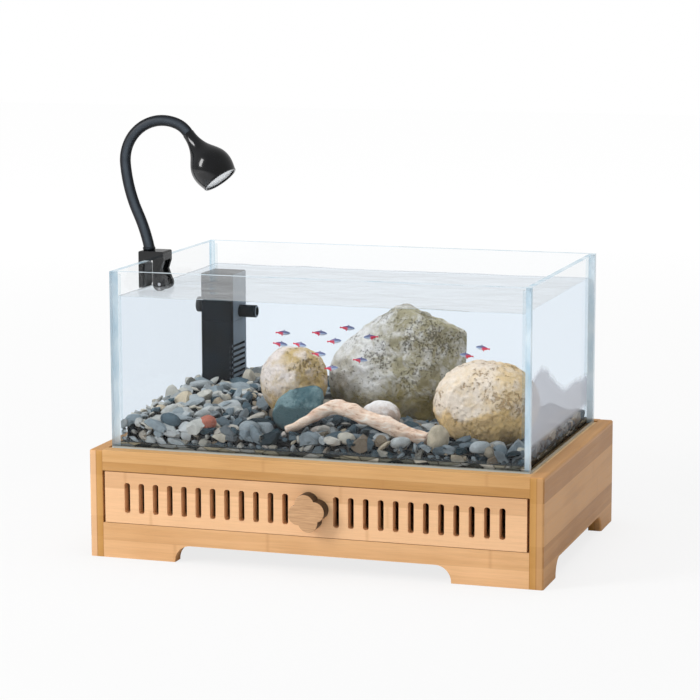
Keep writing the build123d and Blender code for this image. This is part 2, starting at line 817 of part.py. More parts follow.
with BuildPart() as filter_head:
    with BuildSketch(Plane.XY.offset(seam_height)):
        with Locations((filter_x, filter_y)):
            RectangleRounded(filter_width, filter_depth, filter_corner)
    extrude(amount=filter_head_height)
    fillet(filter_head.edges().group_by(Axis.Z)[-1], head_edge_round)
    with BuildSketch(Plane.XY.offset(seam_height - spigot_depth)):
        with Locations((filter_x, filter_y)):
            RectangleRounded(
                filter_width - 2 * spigot_inset, filter_depth - 2 * spigot_inset, filter_corner
            )
    extrude(amount=spigot_depth)
    rod_z(
        (filter_x, filter_y, seam_height - spigot_depth - cut_through),
        chamber_radius, chamber_top - seam_height + spigot_depth + cut_through, Mode.SUBTRACT,
    )
    rod_z((filter_x, filter_y, chamber_top), well_radius, well_depth, Mode.SUBTRACT)
    rod_z(
        (filter_x, filter_y, well_top), shaft_radius + shaft_seat_play, shaft_seat_depth, Mode.SUBTRACT
    )
    block(
        tuple(c - coil_play for c in coil_low), tuple(c + coil_play for c in coil_high), Mode.SUBTRACT,
    )
    rod_x(
        ((filter_x + filter_right) / 2, filter_y, nozzle_z),
        nozzle_bore + nozzle_spigot_wall + shaft_clearance, filter_width / 2 + cut_through, Mode.SUBTRACT,
    )
    for place in cup_places:
        rod_x(
            (filter_left, filter_front + place, cup_z),
            cup_neck + dowel_clearance, 2 * (cup_stem + cup_seat_play), Mode.SUBTRACT,
        )
filter_head.part.label = "filter_head"
export_step(filter_head.part, "parts/filter_head.step")

with BuildPart() as motor_coil:
    block(coil_low, coil_high)
    fillet(motor_coil.edges().filter_by(Axis.Z), coil_round)
motor_coil.part.label = "motor_coil"
export_step(motor_coil.part, "parts/motor_coil.step")

with BuildPart() as impeller_cover:
    cover_base = (filter_x, filter_y, chamber_bottom - cover_thickness)
    rod_z(cover_base, chamber_radius - dowel_clearance, cover_thickness)
    rod_z(cover_base, shaft_radius + shaft_seat_play, cover_thickness, Mode.SUBTRACT)
    with Locations(cover_base):
        with PolarLocations(chamber_radius / 2, vane_count):
            Cylinder(
                inlet_radius, cover_thickness,
                align=(Align.CENTER, Align.CENTER, Align.MIN), mode=Mode.SUBTRACT,
            )
impeller_cover.part.label = "impeller_cover"
export_step(impeller_cover.part, "parts/impeller_cover.step")

with BuildPart() as impeller_shaft:
    rod_z(
        (filter_x, filter_y, chamber_bottom - cover_thickness),
        shaft_radius,
        well_top + shaft_seat_depth - shaft_seat_gap - chamber_bottom + cover_thickness,
    )
impeller_shaft.part.label = "impeller_shaft"
export_step(impeller_shaft.part, "parts/impeller_shaft.step")

with BuildPart() as impeller:
    vane_bottom = chamber_bottom + rotor_lift
    vane_top = vane_bottom + vane_height
    magnet_bottom = chamber_top + rotor_lift
    rod_z((filter_x, filter_y, vane_bottom), rotor_hub_radius, magnet_bottom - vane_bottom)
    rod_z((filter_x, filter_y, vane_top), vane_reach, vane_thickness)
    rod_z((filter_x, filter_y, magnet_bottom), magnet_radius, magnet_length)
    with Locations((filter_x, filter_y, vane_bottom)):
        with PolarLocations(vane_reach / 2, vane_count):
            Box(
                vane_reach - vane_tip_gap, vane_thickness, vane_height,
                align=(Align.CENTER, Align.CENTER, Align.MIN),
            )
    rod_z(
        (filter_x, filter_y, vane_bottom - cut_through), shaft_radius + shaft_clearance,
        magnet_bottom + magnet_length - vane_bottom + 2 * cut_through, Mode.SUBTRACT,
    )
impeller.part.label = "impeller"
export_step(impeller.part, "parts/impeller.step")

with BuildPart() as outlet_nozzle:
    nozzle_face = filter_right + filter_running_gap
    rod_x((nozzle_face + nozzle_reach / 2, filter_y, nozzle_z), nozzle_radius, nozzle_reach)
    fillet(outlet_nozzle.edges().group_by(Axis.X)[-1], nozzle_edge_round)
    rod_x(
        (nozzle_face - nozzle_spigot / 2, filter_y, nozzle_z),
        nozzle_bore + nozzle_spigot_wall, nozzle_spigot,
    )
    rod_x((nozzle_face, filter_y, nozzle_z), nozzle_bore, 3 * nozzle_reach, Mode.SUBTRACT)
outlet_nozzle.part.label = "outlet_nozzle"
export_step(outlet_nozzle.part, "parts/outlet_nozzle.step")

# Suction cups on the filter's left side, against the left pane
with BuildPart() as suction_cups:
    cup_depth = filter_from_left_pane - 2 * filter_running_gap
    for place in cup_places:
        cup_plane = Plane(
            origin=(filter_left, filter_front + place, cup_z), x_dir=(0, 1, 0), z_dir=(0, 0, 1)
        )
        with BuildSketch(cup_plane):
            with BuildLine():
                Polyline(
                    (0, -cup_stem), (cup_neck, -cup_stem), (cup_neck, filter_running_gap),
                    (cup_radius - cup_lip, filter_running_gap), (cup_radius, cup_depth / 2),
                    (cup_radius, filter_running_gap + cup_depth),
                    (cup_radius - cup_rim_step, filter_running_gap + cup_depth),
                    (0, filter_running_gap + cup_depth / 2), close=True,
                )
            make_face()
        revolve(axis=Axis((filter_left, filter_front + place, cup_z), (1, 0, 0)))
suction_cups.part.label = "suction_cups"
export_step(suction_cups.part, "parts/suction_cups.step")

# Clip of the lamp, on the left pane: cap over the rim, plate outside, two cheeks inside
lamp_y = tank_front + lamp_from_front
clip_front = lamp_y - clip_width / 2
clip_back = lamp_y + clip_width / 2
clip_bottom = rim - clip_drop
clip_underside = rim + clip_gap
clip_top = clip_underside + clip_cap_height
clip_outside = tank_left - clip_outer_reach
clip_inside = tank_left + clip_inner_reach
pivot_x = tank_left + pivot_from_glass
pivot_z = rim - pivot_below_rim
cheek_left = water_left + pad_thickness + cheek_pad_gap
socket = Vector(tank_left + neck_socket_offset, lamp_y, clip_top)

with BuildPart() as clip_body:
    block((clip_outside, clip_front, clip_underside), (clip_inside, clip_back, clip_top))
    block((clip_outside, clip_front, clip_bottom), (clip_outside + clip_plate, clip_back, clip_underside))
    fillet(clip_body.edges().filter_by(Axis.Y).group_by(Axis.Z)[-1], clip_edge_round)
    for cheek_front in (clip_front, clip_back - cheek_thickness):
        with BuildSketch(Plane.XZ.offset(-(cheek_front + cheek_thickness))):
            with BuildLine():
                Polyline(
                    (cheek_left, clip_underside + cheek_root), (clip_inside, clip_underside + cheek_root),
                    (clip_inside, clip_underside - cheek_root),
                    (pivot_x + cheek_shoulder_reach, pivot_z + cheek_shoulder_height),
                    (pivot_x + pivot_boss_radius, pivot_z), (pivot_x - pivot_boss_radius, pivot_z),
                    (cheek_left, pivot_z + cheek_toe_height), close=True,
                )
            make_face()
            with Locations((pivot_x, pivot_z)):
                Circle(pivot_boss_radius)
        extrude(amount=cheek_thickness)
    rod_y((pivot_x, lamp_y, pivot_z), pin_radius + dowel_clearance, 2 * clip_width, Mode.SUBTRACT)
    rod_z(
        (socket.X, socket.Y, clip_top - neck_spigot_depth - clip_gap),
        neck_spigot_radius + neck_bore_play, neck_spigot_depth + clip_gap + cut_through, Mode.SUBTRACT,
    )
clip_body.part.label = "clip_body"
export_step(clip_body.part, "parts/clip_body.step")

with BuildPart() as clip_jaw:
    jaw_half = clip_width / 2 - cheek_thickness - jaw_play
    jaw_face = water_left + clip_gap + pad_thickness
    barrel_half = jaw_half / 2
    with BuildSketch(Plane.XZ.offset(-(lamp_y + jaw_half))):
        with BuildLine():
            Polyline(
                (jaw_face, pivot_z + jaw_heel_height), (jaw_face, pivot_z + jaw_height),
                (jaw_face + jaw_lip, pivot_z + jaw_height),
                (pivot_x - jaw_shoulder_inset, pivot_z + jaw_shoulder_height),
                (pivot_x + jaw_heel_reach, pivot_z + jaw_heel_height), close=True,
            )
        make_face()
    extrude(amount=2 * jaw_half)
    with BuildSketch(Plane.XZ.offset(-(lamp_y + barrel_half))):
        with BuildLine():
            Polyline(
                (jaw_face, pivot_z - barrel_web_drop), (jaw_face, pivot_z + barrel_web_height),
                (pivot_x + jaw_heel_reach, pivot_z + barrel_web_height),
                (pivot_x + jaw_barrel_radius - jaw_shoulder_inset, pivot_z),
                (pivot_x, pivot_z - barrel_toe_drop), close=True,
            )
        make_face()
        with Locations((pivot_x, pivot_z)):
            Circle(jaw_barrel_radius)
    extrude(amount=2 * barrel_half)
    rod_y((pivot_x, lamp_y, pivot_z), pin_radius + pin_play, 2 * clip_width, Mode.SUBTRACT)
clip_jaw.part.label = "clip_jaw"
export_step(clip_jaw.part, "parts/clip_jaw.step")

with BuildPart() as clip_pin:
    rod_y((pivot_x, lamp_y, pivot_z), pin_radius, clip_width)
clip_pin.part.label = "clip_pin"
export_step(clip_pin.part, "parts/clip_pin.step")

with BuildPart() as jaw_springs:
    spring_space = jaw_half - barrel_half
    for side in (-1, 1):
        centre = (pivot_x, lamp_y + side * (barrel_half + spring_space / 2), pivot_z)
        rod_y(centre, pin_radius + jaw_play + spring_wall, spring_space - jaw_play)
    rod_y((pivot_x, lamp_y, pivot_z), pin_radius + jaw_play, clip_width, Mode.SUBTRACT)
jaw_springs.part.label = "jaw_springs"
export_step(jaw_springs.part, "parts/jaw_springs.step")

with BuildPart() as outer_jaw_pad:
    block(
        (clip_outside + clip_plate, clip_front + pad_margin, clip_bottom + 2 * pad_margin),
        (clip_outside + clip_plate + pad_thickness, clip_back - pad_margin, rim - 4 * pad_margin),
    )
    fillet(outer_jaw_pad.edges().filter_by(Axis.X), outer_pad_round)
outer_jaw_pad.part.label = "outer_jaw_pad"
export_step(outer_jaw_pad.part, "parts/outer_jaw_pad.step")

with BuildPart() as inner_jaw_pad:
    block(
        (jaw_face - pad_thickness, lamp_y - jaw_half + pad_margin, pivot_z + pad_start),
        (jaw_face, lamp_y + jaw_half - pad_margin, pivot_z + pad_end),
    )
    fillet(inner_jaw_pad.edges().filter_by(Axis.X), inner_pad_round)
inner_jaw_pad.part.label = "inner_jaw_pad"
export_step(inner_jaw_pad.part, "parts/inner_jaw_pad.step")

# Gooseneck: three stretches, each ending in a round nose inside the next one's cup
neck_plane = Plane(origin=socket, x_dir=(1, 0, 0), z_dir=(0, -1, 0))
neck_start = (0, neck_flange_height)
with BuildLine(neck_plane) as lower_route:
    lower_end, lower_heading = add_bends(neck_start, neck_heading, [neck_lower_bend])
with BuildLine(neck_plane) as middle_route:
    middle_end, middle_heading = add_bends(lower_end, lower_heading, [neck_middle_bend])
with BuildLine(neck_plane) as upper_route:
    upper_end, upper_heading = add_bends(middle_end, middle_heading, [neck_top_bend, neck_end_bend])


def neck_point(place):
    """A point of the neck's own plane in the model's frame."""
    return neck_plane.from_local_coords((place[0], place[1], 0))


def neck_section(place, heading):
    """The plane square to the neck at a point."""
    return Plane(
        origin=neck_point(place), x_dir=(0, -1, 0), z_dir=(cos(radians(heading)), 0, sin(radians(heading)))
    )


with BuildPart() as gooseneck_lower:
    with BuildSketch(neck_section(neck_start, neck_heading)):
        Circle(neck_radius)
    sweep(path=lower_route.wires()[0])
    with Locations(neck_point(lower_end)):
        Sphere(neck_radius)
    rod_z((socket.X, socket.Y, clip_top + clip_gap), neck_radius + neck_flange_step, neck_flange_height)
    rod_z(
        (socket.X, socket.Y, clip_top - neck_spigot_depth), neck_spigot_radius,
        neck_spigot_depth + clip_gap + cut_through,
    )
gooseneck_lower.part.label = "gooseneck_lower"
export_step(gooseneck_lower.part, "parts/gooseneck_lower.step")

with BuildPart() as gooseneck_middle:
    with BuildSketch(neck_section(lower_end, lower_heading)):
        Circle(neck_radius)
    sweep(path=middle_route.wires()[0])
    with Locations(neck_point(middle_end)):
        Sphere(neck_radius)
    with Locations(neck_point(lower_end)):
        Sphere(neck_radius + ball_gap, mode=Mode.SUBTRACT)
gooseneck_middle.part.label = "gooseneck_middle"
export_step(gooseneck_middle.part, "parts/gooseneck_middle.step")

with BuildPart() as gooseneck_upper:
    with BuildSketch(neck_section(middle_end, middle_heading)):
        Circle(neck_radius)
    sweep(path=upper_route.wires()[0])
    with Locations(neck_point(upper_end)):
        Sphere(neck_radius)
    with Locations(neck_point(middle_end)):
        Sphere(neck_radius + ball_gap, mode=Mode.SUBTRACT)
gooseneck_upper.part.label = "gooseneck_upper"
export_step(gooseneck_upper.part, "parts/gooseneck_upper.step")

# Lamp head: turned parts around one axis, which starts at the neck's last ball
head_point = neck_point(upper_end)
head_axis_dir = Vector(
    cos(radians(head_heading)) * cos(radians(head_forward)),
    -sin(radians(head_forward)),
    sin(radians(head_heading)) * cos(radians(head_forward)),
)
head_plane = Plane(origin=head_point, z_dir=head_axis_dir)
head_profile = Plane(origin=head_point, x_dir=head_plane.x_dir, z_dir=head_plane.y_dir * -1)
head_axis = Axis(head_point, head_axis_dir)
rim_radius, shade_length = shade_outline[-1]
board_place = shade_length - led_board_depth
inner_rim = rim_radius - shade_wall

with BuildPart() as lamp_shade:
    with BuildSketch(head_profile):
        outer_points = [(neck_radius + shade_neck_wall, shade_start)] + shade_outline
        inner_points = [(r - shade_wall, t) for r, t in shade_outline[4:-1]]
        with BuildLine():
            Spline(*outer_points)
            Line(outer_points[-1], (inner_rim, shade_length))
            Spline((inner_rim, shade_length), *inner_points[::-1], (shade_cavity_radius, shade_cavity_start))
            Polyline(
                (shade_cavity_radius, shade_cavity_start), (lamp_wire_bore, shade_cavity_start),
                (lamp_wire_bore, shade_start), outer_points[0],
            )
        make_face()
    revolve(axis=head_axis)
    with Locations(head_point):
        Sphere(neck_radius + ball_gap, mode=Mode.SUBTRACT)
    # A post in the middle carries the lights
    with BuildSketch(head_plane.offset(shade_cavity_start - shade_wall)):
        Circle(light_post_radius)
        Circle(lamp_wire_bore, mode=Mode.SUBTRACT)
    extrude(amount=board_place - shade_cavity_start + shade_wall)
lamp_shade.part.label = "lamp_shade"
export_step(lamp_shade.part, "parts/lamp_shade.step")

lens_radius = inner_rim - seat_gap
lens_seat = shade_length - lens_thickness
with BuildPart() as lamp_bezel:
    with BuildSketch(head_plane.offset(shade_length)):
        Circle(rim_radius)
        Circle(rim_radius - bezel_width, mode=Mode.SUBTRACT)
    extrude(amount=bezel_height)
    rings = lamp_bezel.edges().filter_by(GeomType.CIRCLE)
    far_rings = rings.sort_by(lambda ring: (ring.arc_center - head_point).length)[-2:]
    fillet(far_rings.sort_by(lambda ring: ring.radius)[-1:], bezel_height / 2)
lamp_bezel.part.label = "lamp_bezel"
export_step(lamp_bezel.part, "parts/lamp_bezel.step")

with BuildPart() as lamp_lens:
    with BuildSketch(head_plane.offset(lens_seat)):
        Circle(lens_radius)
    extrude(amount=lens_thickness)
lamp_lens.part.label = "lamp_lens"
export_step(lamp_lens.part, "parts/lamp_lens.step")

with BuildPart() as led_board:
    with BuildSketch(head_plane.offset(board_place)):
        Circle(inner_rim - seat_gap)
    extrude(amount=led_board_thickness)
    with BuildSketch(head_plane.offset(board_place + led_board_thickness)):
        with GridLocations(2 * led_size, 2 * led_size, 2, 2):
            Rectangle(led_size, led_size)
    extrude(amount=led_board_thickness)
led_board.part.label = "led_board"
export_step(led_board.part, "parts/led_board.step")
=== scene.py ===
import json
import math
import random

import bmesh
import bpy
from mathutils import Matrix, Vector, noise
from mathutils.bvhtree import BVHTree


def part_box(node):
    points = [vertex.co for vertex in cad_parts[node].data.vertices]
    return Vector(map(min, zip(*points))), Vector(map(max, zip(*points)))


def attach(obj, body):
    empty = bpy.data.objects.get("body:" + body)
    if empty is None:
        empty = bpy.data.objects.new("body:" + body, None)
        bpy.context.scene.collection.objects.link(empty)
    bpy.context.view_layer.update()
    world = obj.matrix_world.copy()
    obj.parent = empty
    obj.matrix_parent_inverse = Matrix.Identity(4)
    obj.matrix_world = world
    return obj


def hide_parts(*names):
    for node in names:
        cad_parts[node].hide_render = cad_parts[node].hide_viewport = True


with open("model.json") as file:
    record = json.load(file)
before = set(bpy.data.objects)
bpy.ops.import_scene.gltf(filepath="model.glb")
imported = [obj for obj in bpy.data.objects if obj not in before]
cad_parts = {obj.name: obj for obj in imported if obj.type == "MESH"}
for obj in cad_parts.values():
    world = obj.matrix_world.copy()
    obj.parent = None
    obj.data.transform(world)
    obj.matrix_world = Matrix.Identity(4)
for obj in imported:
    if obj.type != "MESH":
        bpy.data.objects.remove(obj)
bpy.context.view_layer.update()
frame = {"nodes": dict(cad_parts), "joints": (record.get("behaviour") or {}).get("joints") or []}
nodes = frame["nodes"]
print("frame loaded, nodes:", len(nodes))

# Places that the pieces are measured from: the tank's middle, its front face and the top of its bottom pane
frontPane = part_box("tank_front_pane")
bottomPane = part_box("tank_bottom_pane")
tankMid = (frontPane[0].x + frontPane[1].x) / 2
tankFront = frontPane[0].y
tankFloor = bottomPane[1].z
waterLow = Vector((bottomPane[0].x, bottomPane[0].y, tankFloor))
waterHigh = Vector((bottomPane[1].x, bottomPane[1].y, frontPane[1].z))


def inTank(x, y, z):
    # millimetres from the tank's middle, front face and floor, to metres in the frame
    return Vector((tankMid + x / 1000, tankFront + y / 1000, tankFloor + z / 1000))


# Node helpers


def paint(red, green, blue):
    # screen colour, 0 to 255, as Blender's linear colour
    linear = [((c / 255 + 0.055) / 1.055) ** 2.4 if c > 10 else c / 255 / 12.92 for c in (red, green, blue)]
    return (*linear, 1.0)


def addNode(tree, kind, inputs=None, **settings):
    made = tree.nodes.new("ShaderNode" + kind)
    for name, value in settings.items():
        setattr(made, name, value)
    for name, value in (inputs or {}).items():
        if isinstance(value, bpy.types.NodeSocket):
            tree.links.new(value, made.inputs[name])
        else:
            made.inputs[name].default_value = value
    return made


def newMaterial(name, roughness=0.5, specular=0.5, metallic=0.0):
    material = bpy.data.materials.new(name)
    material.use_nodes = True
    tree = material.node_tree
    shader = tree.nodes["Principled BSDF"]
    shader.inputs["Roughness"].default_value = roughness
    shader.inputs["Specular IOR Level"].default_value = specular
    shader.inputs["Metallic"].default_value = metallic
    return material, tree, shader


def emptyMaterial(name):
    # a material without a shader, its tree and the socket that its last shader goes to
    material = bpy.data.materials.new(name)
    material.use_nodes = True
    tree = material.node_tree
    tree.nodes.clear()
    return material, tree, addNode(tree, "OutputMaterial").inputs["Surface"]


def objectPlace(tree, scale=(1, 1, 1), shift=(0, 0, 0), turn=(0, 0, 0)):
    # where a point lies on its own piece, in metres
    coords = addNode(tree, "TexCoord")
    mapping = addNode(tree, "Mapping", {"Vector": coords.outputs["Object"]})
    mapping.inputs["Scale"].default_value = scale
    mapping.inputs["Location"].default_value = shift
    mapping.inputs["Rotation"].default_value = turn
    return mapping.outputs[0]


def noiseAt(tree, place, scale, detail=4.0, roughness=0.55, distortion=0.0):
    made = addNode(tree, "TexNoise", {
        "Vector": place, "Scale": scale, "Detail": detail, "Roughness": roughness, "Distortion": distortion,
    })
    return made.outputs["Fac"]


def cellsAt(tree, place, scale, feature="F1"):
    return addNode(tree, "TexVoronoi", {"Vector": place, "Scale": scale}, feature=feature).outputs


def cellTone(tree, cells):
    # one random tone for each cell
    return addNode(tree, "SeparateColor", {0: cells["Color"]}).outputs[0]


def axisOf(tree, vector, axis):
    return addNode(tree, "SeparateXYZ", {0: vector}).outputs[axis]


def normalAlong(tree, axis):
    # how far the surface faces along an axis, from -1 to 1
    return axisOf(tree, addNode(tree, "NewGeometry").outputs["Normal"], axis)


def facesAlong(tree, axis):
    # the same for both ways along the axis, from 0 to 1
    return sums(tree, "ABSOLUTE", normalAlong(tree, axis))


def ramp(tree, factor, stops):
    made = addNode(tree, "ValToRGB", {"Fac": factor})
    elements = made.color_ramp.elements
    while len(elements) < len(stops):
        elements.new(0.5)
    for element, (position, colour) in zip(elements, stops):
        element.position = position
        element.color = colour
    return made.outputs["Color"]


def grey(level):
    return (level, level, level, 1)


def fade(tree, factor, start, end, first=0, last=1):
    # a grey that goes from the first level to the last while factor goes from start to end
    return ramp(tree, factor, [(start, grey(first)), (end, grey(last))])


def mixColour(tree, factor, first, second, blend="MIX"):
    sockets = {0: factor, 6: first, 7: second}
    return addNode(tree, "Mix", sockets, data_type="RGBA", blend_type=blend).outputs[2]


def multiply(tree, amount, colour, shade):
    return mixColour(tree, amount, colour, shade, "MULTIPLY")


def sums(tree, operation, first, second=0.0, clamp=False):
    return addNode(tree, "Math", {0: first, 1: second}, operation=operation, use_clamp=clamp).outputs[0]


def plus(tree, first, second):
    return sums(tree, "ADD", first, second)


def product(tree, first, second):
    return sums(tree, "MULTIPLY", first, second)


def minus(tree, first, second):
    return sums(tree, "SUBTRACT", first, second)


def mixShaders(tree, factor, first, second):
    return addNode(tree, "MixShader", {0: factor, 1: first, 2: second}).outputs[0]


def bump(tree, shader, height, distance, strength=1.0, below=None):
    made = addNode(tree, "Bump", {"Height": height, "Distance": distance, "Strength": strength})
    if below is not None:
        tree.links.new(below, made.inputs["Normal"])
    tree.links.new(made.outputs[0], shader.inputs["Normal"])
    return made.outputs[0]


def applyColour(tree, shader, colour, rough=None):
    tree.links.new(colour, shader.inputs["Base Color"])
    if rough is not None:
        tree.links.new(rough, shader.inputs["Roughness"])


def dress(material, *names):
    # one material on CAD nodes
    for name in names:
        nodes[name].data.materials.clear()
        nodes[name].data.materials.append(material)


# Bamboo boards

bamboo = {
    "stripWidth": 0.0195, "seamHalf": 0.03, "seamShade": 0.93,
    "knuckleSpacing": 0.21, "knuckleHalf": 0.012, "knuckle": paint(176, 126, 78),
    # how far the grain is drawn out along a board, and how fine its fibres, streaks and clouds are
    "grainStretch": 0.035, "fibreScale": 1400, "streakScale": 170, "cloudScale": 9,
    # pale and dark tone of each board
    "rail": (paint(210, 164, 110), paint(184, 136, 80)),
    "lowRail": (paint(234, 188, 140), paint(208, 160, 110)),
    "drawer": (paint(232, 187, 143), paint(214, 168, 124)),
    # the side tone is darker than the rails', partly the board's own tone and partly painted shade
    "side": (paint(204, 154, 101), paint(172, 123, 72)),
    "inner": (paint(206, 166, 120), paint(176, 134, 90)),
}


def bambooGrain(name, tones, grain, shift=(0, 0, 0)):
    light, dark = tones
    material, tree, shader = newMaterial(name, 0.45, specular=0.2)
    place = objectPlace(tree, turn=(0, 0, math.pi / 2 if grain == "y" else 0), shift=shift)
    along, across, up = addNode(tree, "SeparateXYZ", {0: place}).outputs
    # a board is glued from strips, and each strip has a tone of its own
    stripHeight = sums(tree, "DIVIDE", up, bamboo["stripWidth"])
    stripRow = sums(tree, "FLOOR", stripHeight)
    stripTone = addNode(tree, "TexWhiteNoise", {"W": stripRow}, noise_dimensions="1D").outputs["Value"]
    drawnOut = product(tree, along, bamboo["grainStretch"])
    stretched = addNode(tree, "CombineXYZ", {"X": drawnOut, "Y": across, "Z": up}).outputs[0]
    fibres = noiseAt(tree, stretched, bamboo["fibreScale"], 3)
    streaks = noiseAt(tree, stretched, bamboo["streakScale"], 5, 0.6, 0.4)
    clouds = noiseAt(tree, place, bamboo["cloudScale"], 2)
    # knuckles: a thin dark line across each strip, at its own place along it
    knucklePlace = plus(tree, sums(tree, "DIVIDE", along, bamboo["knuckleSpacing"]), stripTone)
    knuckleAway = sums(tree, "ABSOLUTE", minus(tree, sums(tree, "FRACT", knucklePlace), 0.5))
    knuckle = fade(tree, knuckleAway, 0.0, bamboo["knuckleHalf"], 1, 0)
    tone = mixColour(tree, 0.3, mixColour(tree, 0.5, streaks, clouds), stripTone)
    colour = ramp(tree, tone, [(0.34, dark), (0.62, light)])
    colour = multiply(tree, 0.7, colour, fade(tree, fibres, 0.3, 0.6, 0.88))
    colour = mixColour(tree, product(tree, knuckle, 0.3), colour, bamboo["knuckle"])
    # the glue line between strips
    glue, shade = bamboo["seamHalf"], grey(bamboo["seamShade"])
    seam = ramp(tree, sums(tree, "FRACT", stripHeight), [
        (0.0, shade), (glue, grey(1)), (1 - glue, grey(1)), (1.0, shade),
    ])
    colour = multiply(tree, 0.8, colour, seam)
    applyColour(tree, shader, colour, fade(tree, fibres, 0.2, 0.8, 0.36, 0.52))
    bump(tree, shader, fibres, 0.00008)
    return material, tree, shader, colour


def bambooMaterial(name, tones, grain, shift=(0, 0, 0)):
    return bambooGrain(name, tones, grain, shift)[0]


def sideBoardMaterial(name, innerX, thickness, outerPly):
    # a side board shows its two plies on its front end: an ochre one inside and a paler one outside
    material, tree, shader, colour = bambooGrain(name, bamboo["side"], "y")
    facesFront = fade(tree, facesAlong(tree, "Y"), 0.8, 0.9)
    outward = sums(tree, "ABSOLUTE", minus(tree, axisOf(tree, objectPlace(tree), "X"), innerX))
    plies = ramp(tree, sums(tree, "DIVIDE", outward, thickness), [
        (0.0, paint(140, 92, 42)), (0.05, paint(188, 138, 70)), (0.42, paint(196, 148, 82)),
        (0.48, paint(168, 118, 66)), (0.54, outerPly), (1.0, outerPly),
    ])
    applyColour(tree, shader, mixColour(tree, product(tree, facesFront, 0.75), colour, plies))
    return material


leftBoard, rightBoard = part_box("left_side_board"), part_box("right_side_board")
boardThickness = leftBoard[1].x - leftBoard[0].x
for finish, board, innerX, outerPly in (
    ("bambooLeftBoard", "left_side_board", leftBoard[1].x, paint(230, 186, 144)),
    ("bambooRightBoard", "right_side_board", rightBoard[0].x, paint(194, 150, 102)),
):
    dress(sideBoardMaterial(finish, innerX, boardThickness, outerPly), board)
# each board along the width has its own stretch of the grain
for finish, board, tones, shift in (
    ("bambooTopRail", "front_top_rail", "rail", (0.03, 0, 0.007)),
    ("bambooBottomRail", "front_bottom_rail", "lowRail", (0.11, 0, 0.003)),
    ("bambooBackBoard", "back_board", "side", (0.2, 0, 0)),
    ("bambooDrawerFront", "drawer_front", "drawer", (0.07, 0, 0.012)),
):
    dress(bambooMaterial(finish, bamboo[tones], "x", shift), board)
dress(bambooMaterial("bambooInside", bamboo["inner"], "y"), "left_deck_cleat", "right_deck_cleat",
      "left_drawer_runner", "right_drawer_runner", "drawer_left_side", "drawer_right_side")
dress(bambooMaterial("bambooDrawerBack", bamboo["inner"], "x"),
      "drawer_back", "drawer_stops", "corner_dowels")


def panelMaterial():
    # deck and drawer floor: a wide sheet with a soft wavy figure
    material, tree, shader = newMaterial("sheetWood", 0.5)
    figure = noiseAt(tree, objectPlace(tree, scale=(1, 7, 7)), 9, 5, 0.6, 1.5)
    pores = noiseAt(tree, objectPlace(tree, scale=(0.05, 1, 1)), 1600, 2)
    colour = ramp(tree, figure, [(0.35, paint(196, 158, 110)), (0.65, paint(224, 192, 148))])
    applyColour(tree, shader, multiply(tree, 0.4, colour, fade(tree, pores, 0.35, 0.5, 0.75)))
    bump(tree, shader, pores, 0.0001)
    return material


dress(panelMaterial(), "deck_panel", "drawer_floor")


def knobMaterial():
    # a pale face and a side toasted dark, with painted shade that darkens the side most on its right and top
    material, tree, shader = newMaterial("toastedShadedKnob", 0.45)
    rings = noiseAt(tree, objectPlace(tree, scale=(1, 1, 14)), 60, 4)
    face = ramp(tree, rings, [(0.35, paint(174, 132, 92)), (0.65, paint(200, 158, 116))])
    wall = fade(tree, facesAlong(tree, "Y"), 0.45, 0.85, 1, 0)
    soot = noiseAt(tree, objectPlace(tree), 180, 4)
    toast = ramp(tree, soot, [(0.3, paint(20, 13, 8)), (0.7, paint(66, 42, 24))])
    # painted shade: the toast is full where the side faces right and up, and a quarter as strong elsewhere
    side = fade(tree, plus(tree, normalAlong(tree, "X"), normalAlong(tree, "Z")), 0.0, 0.4, 0.25)
    applyColour(tree, shader, mixColour(tree, multiply(tree, 1.0, wall, side), face, toast))
    bump(tree, shader, rings, 0.0001)
    return material


dress(knobMaterial(), "drawer_knob")


def steelMaterial():
    material, tree, shader = newMaterial("plainSteel", 0.32, metallic=1.0)
    turned = noiseAt(tree, objectPlace(tree, scale=(1, 12, 12)), 420, 3)
    colour = ramp(tree, turned, [(0.3, paint(168, 168, 172)), (0.7, paint(204, 204, 208))])
    applyColour(tree, shader, colour, fade(tree, turned, 0.2, 0.8, 0.25, 0.42))
    return material


dress(steelMaterial(), "rail_screws", "knob_screw", "clip_pin", "jaw_springs")
print("base and drawer dressed")

# Glass

glassLook = {
    "throughFace": (0.99, 0.995, 0.998, 1), "gloss": 0.02, "ior": 1.45,
    "edge": paint(230, 242, 249), "edgeDeep": paint(184, 212, 228), "edgeCover": 0.8,
    # the rear left corner is only a faint line, as deep as this from the back
    "rearCover": 0.2, "rearDepth": 0.004,
    # how much of the full mirror each pair of panes keeps
    "frontMirror": 0.22, "sideMirror": 0.08,
    # the painted highlight along the foot of each pane: its colour, height, wobble and cover
    "lightLinePaint": paint(206, 216, 214), "lightLineHeight": 0.0016, "lightLineWobble": 0.0012, "lightLineCover": 0.85,
}
flatFace = 0.7  # a surface faces along an axis where its normal reaches this far along it


def seeThrough(tree, tint, glossRoughness, ior, normal=None, share=1.0):
    # rays pass straight through, with a mirror share that grows at a grazing angle
    through = addNode(tree, "BsdfTransparent", {"Color": tint})
    mirror = addNode(tree, "BsdfGlossy", {"Color": (1, 1, 1, 1), "Roughness": glossRoughness})
    fresnel = addNode(tree, "Fresnel", {"IOR": ior})
    if normal is not None:
        tree.links.new(normal, mirror.inputs["Normal"])
        tree.links.new(normal, fresnel.inputs["Normal"])
    factor = product(tree, fresnel.outputs[0], share)
    return mixShaders(tree, factor, through.outputs[0], mirror.outputs[0])


